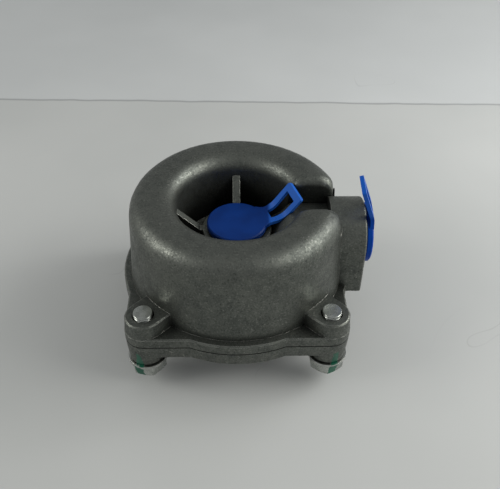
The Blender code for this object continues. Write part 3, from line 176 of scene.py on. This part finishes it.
# The finish of each material slot, and of the nodes that differ from the rest of their slot
SLOT_FINISH = {
    "cast_aluminium": "cast",
    "zinc_steel": "zinc",
    "stainless_sheet": "stainless",
    "brass": "brass",
    "blue_plastic": "blue_top",
    "float_plastic": "float",
    "black_rubber": "rubber",
}
# The side plug gets a lighter copy of the blue and the washers a lighter copy of the zinc, painted lighter
# for the light they catch
NODE_FINISH = {"inlet_plug": "blue_side", **{f"bolt_washer_{number}": "washer" for number in range(1, 5)}}


class Graph:
    """A material's node tree, with one call for each node and its inputs."""

    # Sockets of the Mix node, which repeats their names
    MIX_FACTOR = 0
    MIX_COLOUR_A = 6
    MIX_COLOUR_B = 7
    MIX_COLOUR_RESULT = 2

    def __init__(self, name):
        self.material = bpy.data.materials.new(name)
        self.material.use_nodes = True
        self.tree = self.material.node_tree
        self.tree.nodes.clear()
        self.place = self.add("TexCoord").outputs["Object"]

    def add(self, kind, inputs=None, **settings):
        """A new node, with its inputs by name or number and its settings by name."""
        node = self.tree.nodes.new("ShaderNode" + kind)
        for name, value in settings.items():
            setattr(node, name, value)
        for socket, value in (inputs or {}).items():
            self.set(node.inputs[socket], value)
        return node

    def set(self, socket, value):
        """Gives a socket a link, a colour or a number."""
        if isinstance(value, bpy.types.NodeSocket):
            self.tree.links.new(value, socket)
        elif isinstance(value, tuple) and len(value) == 3 and socket.type == "RGBA":
            socket.default_value = (*value, 1.0)
        else:
            socket.default_value = value

    def noise(self, size, detail=3.0, roughness=0.55, stretch=None):
        """Noise whose lumps are about this many millimetres across."""
        place = self.place
        if stretch:
            place = self.add("Mapping", {"Vector": place, "Scale": stretch}).outputs[0]
        inputs = {"Vector": place, "Scale": 1 / (size * MM), "Detail": detail, "Roughness": roughness}
        return self.add("TexNoise", inputs).outputs["Fac"]

    def ramp(self, value, low, high, start=0.0, end=1.0):
        """Value rising smoothly from start at low to end at high, and flat outside."""
        inputs = {"Value": value, "From Min": low, "From Max": high, "To Min": start, "To Max": end}
        return self.add("MapRange", inputs, interpolation_type="SMOOTHSTEP").outputs["Result"]

    def math(self, operation, a, b=0.0):
        """One step of arithmetic, by Blender's name for it."""
        return self.add("Math", {0: a, 1: b}, operation=operation).outputs[0]

    def product(self, first, *others):
        """All of these multiplied together."""
        for value in others:
            first = self.math("MULTIPLY", first, value)
        return first

    def blend(self, factor, a, b):
        """Colour a where factor is 0, and colour b where it is 1."""
        inputs = {self.MIX_FACTOR: factor, self.MIX_COLOUR_A: a, self.MIX_COLOUR_B: b}
        return self.add("Mix", inputs, data_type="RGBA").outputs[self.MIX_COLOUR_RESULT]

    def layers(self, shade, *masks_and_colours):
        """One colour over another, each as dense as its mask."""
        for mask, colour in masks_and_colours:
            shade = self.blend(mask, shade, colour)
        return shade

    def axis(self, name):
        """Where a point is along X, Y or Z, in metres."""
        return self.add("SeparateXYZ", {0: self.place}).outputs[name]

    def millimetres(self, name):
        """Where a point is along X, Y or Z, in millimetres."""
        return self.math("DIVIDE", self.axis(name), MM)

    def rounded(self, radius):
        """A normal that rounds off sharp edges by this many millimetres."""
        return self.add("Bevel", {"Radius": radius * MM}, samples=NODE_SAMPLES).outputs[0]

    def edges(self, radius, flat=0.995, sharp=0.86):
        """1 on sharp edges, 0 on flat faces, fading over this many millimetres."""
        plain = self.add("NewGeometry").outputs["Normal"]
        likeness = self.add("VectorMath", {0: self.rounded(radius), 1: plain}, operation="DOT_PRODUCT")
        return self.ramp(likeness.outputs["Value"], flat, sharp)

    def hollows(self, distance, shallow=0.75, deep=0.15):
        """1 deep in a corner or a well, 0 out in the open."""
        node = self.add("AmbientOcclusion", {"Distance": distance * MM}, samples=NODE_SAMPLES)
        return self.ramp(node.outputs["AO"], shallow, deep)

    def upward(self, leaning=0.35, level=0.85):
        """1 where a face looks up, 0 where it stands upright or looks down."""
        normal = self.add("NewGeometry").outputs["Normal"]
        return self.ramp(self.add("SeparateXYZ", {0: normal}).outputs["Z"], leaning, level)

    def bump(self, height, strength, distance, normal=None):
        """A normal that follows a height map, whose full height is this many millimetres."""
        inputs = {"Height": height, "Strength": strength, "Distance": distance * MM}
        if normal is not None:
            inputs["Normal"] = normal
        return self.add("Bump", inputs).outputs[0]

    def finish(self, inputs):
        """The finished material, from its shader's inputs."""
        shader = self.add("BsdfPrincipled", inputs)
        output = self.add("OutputMaterial")
        self.tree.links.new(shader.outputs[0], output.inputs[0])
        return self.material


def scaled(colour, factor, lift=0.0):
    """A colour made lighter or darker, and never above white."""
    return tuple(min(1.0, channel * factor + lift) for channel in colour)


def paint_marks(graph):
    """1 inside the strokes of green paint across the front bolts, with ragged edges and thin spots."""
    x, y, z = (graph.millimetres(name) for name in "XYZ")
    ragged = graph.product(graph.math("SUBTRACT", graph.noise(1.6), 0.5), MARK_RAGGEDNESS)
    thin = graph.ramp(graph.noise(0.9), 0.26, 0.38)
    rise = graph.math("SUBTRACT", z, MARK_LEVEL)
    ragged_z = graph.math("ADD", z, ragged)
    strokes = 0.0
    for middle, lean, half, taper, lowest, highest in STROKES:
        line = graph.math("ADD", graph.product(rise, lean), middle)
        width = graph.math("SUBTRACT", half, graph.product(rise, taper))
        aside = graph.math("ABSOLUTE", graph.math("ADD", graph.math("SUBTRACT", x, line), ragged))
        inside = graph.ramp(graph.math("SUBTRACT", width, aside), -MARK_SIDE_BLUR, MARK_SIDE_BLUR)
        above = graph.ramp(ragged_z, lowest, lowest + MARK_END_BLUR)
        below = graph.ramp(ragged_z, highest + MARK_END_BLUR, highest)
        strokes = graph.math("MAXIMUM", strokes, graph.product(inside, above, below))
    front = graph.ramp(y, MARK_FRONT, MARK_FRONT - MARK_FRONT_BLUR)
    return graph.product(strokes, front, thin)


def painted(graph, shade, rough, metallic, dulling):
    """A finish with the paint strokes over it: green, rougher by dulling, and not metal."""
    paint = paint_marks(graph)
    shade = graph.blend(paint, shade, PAINT_GREEN)
    rough = graph.math("ADD", rough, graph.product(paint, dulling))
    metallic = graph.math("SUBTRACT", metallic, graph.product(paint, metallic))
    return shade, rough, metallic


def cast_shade(graph, mottle, grain, wear, seam_and_corner_shade, shadow):
    """The casting's colour: mottling, flow marks, grain, dings, bright worn edges, a dark seam, and painted
    shade in hollows and tight corners.
    """
    blotches = graph.noise(17.0, 3.0, 0.6)
    flow = graph.noise(1.6, 3.0, 0.6, (1.0, 1.0, 0.22))
    knocked = graph.ramp(graph.noise(9.0), 0.5, 0.6)
    dings = graph.product(graph.ramp(graph.noise(1.5, 1.0), 0.70, 0.76), knocked)
    # Painted shade for the hollows, weaker on faces that look up above SHELF_LOW
    shelf = graph.product(graph.upward(), graph.ramp(graph.axis("Z"), SHELF_LOW * MM, SHELF_HIGH * MM))
    painted_shade_depth = graph.math("SUBTRACT", shadow, graph.product(shelf, SHELF_LIGHTENING * shadow))
    return graph.layers(
        graph.blend(graph.ramp(mottle, 0.32, 0.70), CAST_DARK, CAST_LIGHT),
        (graph.ramp(blotches, 0.40, 0.62, 0.0, 0.40), CAST_BLOTCH),
        (graph.ramp(flow, 0.56, 0.70, 0.0, 0.30), CAST_FLOW_MARK),
        (graph.ramp(grain, 0.55, 0.70, 0.0, 0.70), CAST_BRIGHT_GRAIN),
        (graph.ramp(grain, 0.46, 0.31, 0.0, 0.72), CAST_DARK_GRAIN),
        (graph.product(dings, 0.55), CAST_DING),
        (graph.product(wear, 0.75), CAST_WORN_EDGE),
        (graph.product(graph.hollows(22.0), painted_shade_depth), CAST_PAINTED_SHADE),
        (graph.product(seam_and_corner_shade, 0.85), CAST_SEAM_AND_CORNER_SHADE),
    )


def cast_aluminium(name, marked, shadow=0.80):
    """Tumbled die-cast aluminium. Its hollows get painted shade as dense as shadow, and marked adds the
    paint strokes.
    """
    graph = Graph(name)
    mottle = graph.noise(4.2, 4.0, 0.62)
    grain = graph.noise(0.75, 4.0, 0.68)
    from_seam = graph.math("ABSOLUTE", graph.math("SUBTRACT", graph.axis("Z"), SEAM_Z * MM))
    off_seam = graph.ramp(from_seam, 0.5 * MM, 1.1 * MM)
    on_seam = graph.ramp(from_seam, 0.32 * MM, 0.18 * MM)
    wear = graph.product(graph.edges(0.5), graph.ramp(graph.noise(2.5), 0.32, 0.55), off_seam)
    # Painted shade in tight corners, together with the dark seam line between the flanges
    seam_and_corner_shade = graph.math("MAXIMUM", graph.hollows(0.8, 0.80, 0.40), on_seam)
    shade = cast_shade(graph, mottle, grain, wear, seam_and_corner_shade, shadow)
    rough = graph.ramp(mottle, 0.30, 0.70, 0.51, 0.41)
    rough = graph.math("ADD", rough, graph.ramp(grain, 0.35, 0.70, 0.08, -0.10))
    rough = graph.math("SUBTRACT", rough, graph.product(wear, 0.12))
    metallic = CAST_METALLIC
    if marked:
        shade, rough, metallic = painted(graph, shade, rough, metallic, -0.05)
    skin = graph.bump(graph.noise(2.4, 2.0), 0.22, 0.10, graph.rounded(0.35))
    skin = graph.bump(grain, 0.85, 0.10, skin)
    return graph.finish({"Base Color": shade, "Metallic": metallic, "Roughness": rough, "Normal": skin})


def plated_steel(name, dark, light, smooth, dull, marked=False, corner_shade=0.6):
    """Plated or bare machined metal: smudges, faint scratches and worn edges.

    Its roughness goes from smooth to dull, painted shade darkens its corners, and marked adds the paint
    strokes.
    """
    graph = Graph(name)
    smudge = graph.noise(3.0, 4.0, 0.6)
    scratch = graph.noise(0.5, 2.0, 0.5, (1.0, 0.12, 0.6))
    shade = graph.layers(
        graph.blend(graph.ramp(smudge, 0.34, 0.66), dark, light),
        (graph.product(graph.edges(0.25), 0.6), scaled(light, 1.35)),
        # Painted shade darkens the corners
        (graph.product(graph.hollows(3.0), corner_shade), scaled(dark, 0.3)),
    )
    rough = graph.ramp(smudge, 0.30, 0.70, dull, smooth)
    rough = graph.math("ADD", rough, graph.ramp(scratch, 0.55, 0.72, 0.0, 0.12))
    metallic = 1.0
    if marked:
        shade, rough, metallic = painted(graph, shade, rough, metallic, 0.15)
    skin = graph.bump(scratch, 0.12, 0.03, graph.rounded(0.15))
    return graph.finish({"Base Color": shade, "Metallic": metallic, "Roughness": rough, "Normal": skin})


def soft_plastic(name, dark, light, smooth, dull, texture, gloss=0.5, thin=None):
    """Moulded plastic or rubber: a colour that varies a little, a satin skin, pale rubbed edges and painted
    shade in its corners.

    Its roughness goes from smooth to dull, texture is how strong its fine bumps are, gloss is how much it
    reflects, and thin paints a thin tab lighter, for the light that shines through it.
    """
    graph = Graph(name)
    cloud = graph.noise(9.0, 3.0, 0.5)
    shade = graph.blend(graph.ramp(cloud, 0.32, 0.68), dark, light)
    # A thin tab is painted a lighter blue, for the light that shines through it
    if thin:
        colour, axis, start, end = thin
        shade = graph.blend(graph.ramp(graph.axis(axis), start * MM, end * MM), shade, colour)
    rubbed = graph.product(graph.edges(0.22), graph.ramp(graph.noise(1.6), 0.35, 0.6, 0.1, 0.55))
    shade = graph.layers(
        shade,
        (rubbed, scaled(light, 1.5, 0.006)),
        # Painted shade darkens the corners
        (graph.product(graph.hollows(2.5), 0.45), scaled(dark, 0.35)),
    )
    rough = graph.ramp(cloud, 0.30, 0.70, dull, smooth)
    skin = graph.bump(graph.noise(5.0, 1.0), 0.18, 0.12, graph.rounded(0.22))
    skin = graph.bump(graph.noise(0.35, 2.0, 0.5), texture, 0.02, skin)
    look = {"Base Color": shade, "Roughness": rough, "Normal": skin}
    return graph.finish({**look, "IOR": 1.5, "Specular IOR Level": gloss})


def floor_material():
    """A pale sheet on a pale table, with a thin shadow painted along the sheet's back edge, and a few
    hairlines.
    """
    graph = Graph("pale_sheet")
    waver = graph.product(graph.math("SUBTRACT", graph.noise(38.0, 2.0), 0.5), SHEET_EDGE_WAVER)
    line = graph.math("ADD", graph.product(graph.millimetres("X"), SHEET_EDGE_SLOPE), SHEET_EDGE_Y)
    past = graph.math("SUBTRACT", graph.math("ADD", graph.millimetres("Y"), waver), line)
    # A thin shadow painted along the sheet's back edge
    edge = graph.product(graph.ramp(past, -0.9, 0.1), graph.ramp(past, 2.4, 0.7))
    cloud = graph.noise(160.0, 3.0)
    light = graph.ramp(cloud, 0.3, 0.7)
    sheet = graph.blend(light, SHEET_DARK, SHEET_LIGHT)
    table = graph.blend(light, TABLE_DARK, TABLE_LIGHT)
    wave = graph.add("TexWave", {"Vector": graph.place, "Scale": 7.0, "Distortion": 42.0, "Detail": 2.0})
    hairlines = graph.ramp(wave.outputs["Fac"], 0.9993, 0.99995)
    patches = graph.ramp(graph.noise(70.0, 2.0), 0.60, 0.70)
    shade = graph.layers(
        graph.blend(graph.ramp(past, -0.5, 0.5), sheet, table),
        (graph.product(edge, 0.55), SHEET_EDGE_SHADOW),
        (graph.product(hairlines, patches, 0.25), HAIRLINE_GREY),
    )
    rough = graph.ramp(cloud, 0.3, 0.7, 0.52, 0.60)
    skin = graph.bump(graph.noise(0.9, 2.0), 0.05, 0.05)
    return graph.finish({"Base Color": shade, "Roughness": rough, "Normal": skin})


def make_materials():
    """Each finish once, by name."""
    return {
        "cast": cast_aluminium("cast_aluminium_worn", marked=True),
        # A copy of the casting with almost none of the painted hollow shade, so the passage's roof shows lit
        "roof": cast_aluminium("cast_aluminium_open", marked=False, shadow=0.05),
        "zinc": plated_steel(
            "zinc_plate",
            dark=(0.32, 0.335, 0.315),
            light=(0.48, 0.495, 0.47),
            smooth=0.20,
            dull=0.32,
            marked=True,
            corner_shade=0.85,
        ),
        # The washers' zinc is painted a little lighter, with little painted corner shade, so their rims show
        # bright
        "washer": plated_steel(
            "zinc_plate_bright",
            dark=(0.36, 0.37, 0.35),
            light=(0.50, 0.51, 0.49),
            smooth=0.26,
            dull=0.36,
            marked=True,
            corner_shade=0.2,
        ),
        "stainless": plated_steel(
            "stainless_bright",
            dark=(0.45, 0.45, 0.44),
            light=(0.58, 0.58, 0.56),
            smooth=0.26,
            dull=0.38,
        ),
        "brass": plated_steel(
            "brass_machined",
            dark=(0.50, 0.35, 0.14),
            light=(0.66, 0.48, 0.21),
            smooth=0.28,
            dull=0.40,
        ),
        # The same blue plastic at two brightnesses: darker for the top plug down in the well's shade, and
        # lighter for the side plug, which catches the light
        "blue_top": soft_plastic(
            "blue_polyethylene",
            dark=(0.0, 0.023, 0.15),
            light=(0.0, 0.030, 0.19),
            smooth=0.36,
            dull=0.46,
            texture=0.10,
            gloss=0.15,
            thin=TOP_TAB_GLOW,
        ),
        "blue_side": soft_plastic(
            "blue_polyethylene_side",
            dark=(0.0, 0.044, 0.31),
            light=(0.0, 0.054, 0.37),
            smooth=0.34,
            dull=0.44,
            texture=0.10,
            gloss=0.10,
            thin=SIDE_TAB_GLOW,
        ),
        "float": soft_plastic(
            "float_plastic_satin",
            dark=(0.70, 0.68, 0.61),
            light=(0.78, 0.76, 0.69),
            smooth=0.45,
            dull=0.55,
            texture=0.15,
        ),
        "rubber": soft_plastic(
            "black_rubber_matt",
            dark=(0.010, 0.010, 0.010),
            light=(0.018, 0.018, 0.018),
            smooth=0.55,
            dull=0.68,
            texture=0.20,
        ),
    }


def smoothing_nodes():
    """Joins a mesh's split facets and shades them smooth, with a hard line where two meet steeply."""
    tree = bpy.data.node_groups.new("smooth_by_angle", "GeometryNodeTree")
    for direction in ("INPUT", "OUTPUT"):
        tree.interface.new_socket("Geometry", in_out=direction, socket_type="NodeSocketGeometry")
    start = tree.nodes.new("NodeGroupInput")
    join = tree.nodes.new("GeometryNodeMergeByDistance")
    join.inputs["Distance"].default_value = MERGE_DISTANCE * MM
    plain = tree.nodes.new("GeometryNodeRemoveAttribute")
    plain.inputs["Name"].default_value = "custom_normal"
    faces = tree.nodes.new("GeometryNodeSetShadeSmooth")
    faces.domain = "FACE"
    edges = tree.nodes.new("GeometryNodeSetShadeSmooth")
    edges.domain = "EDGE"
    edges.inputs["Shade Smooth"].default_value = False
    end = tree.nodes.new("NodeGroupOutput")
    chain = (start, join, plain, faces, edges, end)
    for before, after in zip(chain, chain[1:]):
        tree.links.new(before.outputs["Geometry"], after.inputs["Geometry"])
    angle = tree.nodes.new("GeometryNodeInputMeshEdgeAngle")
    steep = tree.nodes.new("FunctionNodeCompare")
    steep.data_type = "FLOAT"
    steep.operation = "GREATER_THAN"
    steep.inputs["B"].default_value = SHARP_ANGLE
    tree.links.new(angle.outputs["Unsigned Angle"], steep.inputs["A"])
    tree.links.new(steep.outputs[0], edges.inputs["Selection"])
    return tree


def dress(node, material, smoothing):
    """Gives a CAD node its finished material and smooth shading."""
    mesh_object = frame["nodes"][node]
    mesh_object.modifiers.new("smooth_by_angle", "NODES").node_group = smoothing
    mesh_object.modifiers.new("even_normals", "WEIGHTED_NORMAL").keep_sharp = True
    for slot in mesh_object.material_slots:
        slot.link = "OBJECT"
        slot.material = material


def add_object(name, data):
    """A new object in the scene."""
    added = bpy.data.objects.new(name, data)
    bpy.context.scene.collection.objects.link(added)
    return added


def close_skin(build, rings):
    """Faces from each ring of vertices to the next, and across the first ring and the last."""
    for near, far in zip(rings, rings[1:]):
        for index in range(len(near)):
            after = (index + 1) % len(near)
            build.faces.new((near[index], near[after], far[after], far[index]))
    build.faces.new(rings[0])
    build.faces.new(rings[-1])


def finish_mesh(name, build, material):
    """A new piece from a bmesh: its faces turned outwards, its material, and hard lines on steep edges."""
    mesh = bpy.data.meshes.new(name)
    bmesh.ops.recalc_face_normals(build, faces=build.faces)
    build.to_mesh(mesh)
    build.free()
    mesh.materials.append(material)
    mesh.shade_smooth()
    mesh.set_sharp_from_angle(angle=SHARP_ANGLE)
    return add_object(name, mesh)


def hexagon_radius(angle):
    """How far the side of the bolt's head is from its middle, in a direction."""
    folded = (angle + math.pi / 6) % (math.pi / 3) - math.pi / 6
    return HEAD_ACROSS / 2 / math.cos(folded)


def thread_radius(angle, z, start, end):
    """The thread's radius: a round-topped ridge that climbs with the angle, cut down by the end chamfer."""
    along = (z / THREAD_PITCH - angle / math.tau) % 1.0
    ridge = 0.5 + 0.5 * math.cos(math.tau * along)
    deep = min(1.0, (z - start) / THREAD_PITCH, (end - z) / THREAD_PITCH)
    radius = SHANK_R - THREAD_DEPTH * deep * (1 - ridge)
    return min(radius, SHANK_R - END_CHAMFER + (end - z))


def bolt_rows(length):
    """The bolt from its head up, in rows: each one's height, and its radius as a function of the angle."""
    face_r = HEAD_ACROSS / 2 - HEAD_FACE_INSET
    corner_r = HEAD_ACROSS / 2 / math.cos(math.pi / 6)
    chamfer = (corner_r - face_r) * HEAD_CHAMFER_SLOPE
    heights = [chamfer * step / HEAD_CHAMFER_ROWS for step in range(HEAD_CHAMFER_ROWS + 1)]
    heights.append(HEAD_HEIGHT - HEAD_NECK_HEIGHT)
    rows = []
    for z in heights:
        rows.append((z, lambda angle, z=z: min(hexagon_radius(angle), face_r + z / HEAD_CHAMFER_SLOPE)))
    rows.append((HEAD_HEIGHT, lambda angle: min(hexagon_radius(angle), corner_r - HEAD_NECK_INSET)))
    start = length - THREAD_LENGTH
    for z in (HEAD_HEIGHT, start):
        rows.append((z, lambda angle: SHANK_R))
    steps = int(THREAD_LENGTH / THREAD_PITCH * ROWS_PER_TURN)
    for step in range(1, steps):
        z = start + THREAD_LENGTH * step / steps
        rows.append((z, lambda angle, z=z: thread_radius(angle, z, start, length)))
    rows.append((length, lambda angle: SHANK_R - END_CHAMFER))
    return rows


def make_bolt(node, material):
    """A threaded hex bolt in place of the plain one, head down."""
    low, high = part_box(node)
    turn = math.radians(BOLT_TURNS[node])
    build = bmesh.new()
    rings = []
    for z, radius_at in bolt_rows((high.z - low.z) / MM):
        ring = []
        for column in range(BOLT_COLUMNS):
            angle = math.tau * column / BOLT_COLUMNS
            radius = radius_at(angle)
            x = radius * math.cos(angle + turn)
            y = radius * math.sin(angle + turn)
            ring.append(build.verts.new((x, y, z)))
        rings.append(ring)
    close_skin(build, rings)
    foot = ((low.x + high.x) / 2 / MM, (low.y + high.y) / 2 / MM, low.z / MM)
    build.transform(Matrix.Scale(MM, 4) @ Matrix.Translation(foot))
    piece = finish_mesh(node + "_threaded", build, material)
    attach(piece, "casing")
    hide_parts(node)


def make_passage_roof(material):
    """The side passage's nearly flat roof in the slot, with its slope down into the well."""
    build = bmesh.new()
    rings = []
    for x, half, edge, crown in ROOF_STATIONS:
        ring = [build.verts.new((x, -half, ROOF_FOOT))]
        for step in range(ROOF_COLUMNS + 1):
            across = 2 * step / ROOF_COLUMNS - 1
            height = edge + (crown - edge) * (1 - abs(across) ** 3)
            ring.append(build.verts.new((x, across * half, height)))
        ring.append(build.verts.new((x, half, ROOF_FOOT)))
        rings.append(ring)
    close_skin(build, rings)
    build.transform(Matrix.Scale(MM, 4))
    piece = finish_mesh("passage_roof", build, material)
    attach(piece, "casing")


def make_spring(material, smoothing):
    """The return spring: a copy of the CAD one with its own material and smooth shading, in its place."""
    piece = add_object("return_spring", frame["nodes"]["piston_spring"].data.copy())
    piece.data.materials.clear()
    piece.data.materials.append(material)
    piece.modifiers.new("smooth_by_angle", "NODES").node_group = smoothing
    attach(piece, "casing")
    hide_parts("piston_spring")
    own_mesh(piece)


def make_stage():
    """The pale floor."""
    half = FLOOR_HALF * MM
    corners = [(-half, -half, 0), (half, -half, 0), (half, half, 0), (-half, half, 0)]
    mesh = bpy.data.meshes.new("floor")
    mesh.from_pydata(corners, [], [(0, 1, 2, 3)])
    mesh.materials.append(floor_material())
    floor = add_object("floor", mesh)


def make_camera():
    """The photograph's camera: where it stands, how it is tilted, and its lens."""
    forward = Vector(
        (
            math.sin(CAMERA_YAW) * math.cos(CAMERA_DOWN),
            math.cos(CAMERA_YAW) * math.cos(CAMERA_DOWN),
            -math.sin(CAMERA_DOWN),
        )
    )
    level = Vector((math.cos(CAMERA_YAW), -math.sin(CAMERA_YAW), 0.0))
    over = level.cross(forward)
    right = level * math.cos(CAMERA_ROLL) + over * math.sin(CAMERA_ROLL)
    up = over * math.cos(CAMERA_ROLL) - level * math.sin(CAMERA_ROLL)
    aside = (AIM_PIXEL[0] - IMAGE_WIDTH / 2) / FOCAL_PIXELS * CAMERA_DISTANCE
    below = (AIM_PIXEL[1] - IMAGE_HEIGHT / 2) / FOCAL_PIXELS * CAMERA_DISTANCE
    place = -(forward * CAMERA_DISTANCE + right * aside - up * below)
    place.z += AIM_HEIGHT
    data = bpy.data.cameras.new("camera")
    data.sensor_width = SENSOR_WIDTH
    data.lens = FOCAL_PIXELS / IMAGE_WIDTH * SENSOR_WIDTH
    data.clip_start = NEAR_CLIP * MM
    camera = add_object("camera", data)
    turn = Matrix((right, up, -forward)).transposed()
    camera.matrix_world = Matrix.Translation(place * MM) @ turn.to_4x4()
    bpy.context.scene.camera = camera


def soft_lamp(name, place, target, size, power, colour):
    """A soft rectangular lamp at a place, turned to face a target."""
    data = bpy.data.lights.new(name, "AREA")
    data.shape = "RECTANGLE"
    data.size = size[0] * MM
    data.size_y = size[1] * MM
    data.energy = power
    data.color = colour
    lamp = add_object(name, data)
    lamp.location = Vector(place) * MM
    toward = (Vector(target) - Vector(place)).normalized()
    lamp.rotation_mode = "QUATERNION"
    lamp.rotation_quaternion = toward.to_track_quat("-Z", "Y")


def make_light():
    """The lamps, and a grey room round them."""
    for lamp in LAMPS:
        soft_lamp(*lamp)
    world = bpy.data.worlds.new("room")
    world.use_nodes = True
    background = world.node_tree.nodes["Background"]
    background.inputs["Color"].default_value = (*ROOM_GREY, 1.0)
    background.inputs["Strength"].default_value = 1.0
    bpy.context.scene.world = world
    bpy.context.scene.view_settings.view_transform = "Standard"


def main():
    finishes = make_materials()
    smoothing = smoothing_nodes()
    for part in frame["record"]["subparts"]:
        finish = NODE_FINISH.get(part["node"], SLOT_FINISH[part["material_slot"]])
        dress(part["node"], finishes[finish], smoothing)
    for node in BOLT_TURNS:
        make_bolt(node, finishes["zinc"])
    make_spring(finishes["stainless"], smoothing)
    make_passage_roof(finishes["roof"])
    make_stage()
    make_camera()
    make_light()


main()
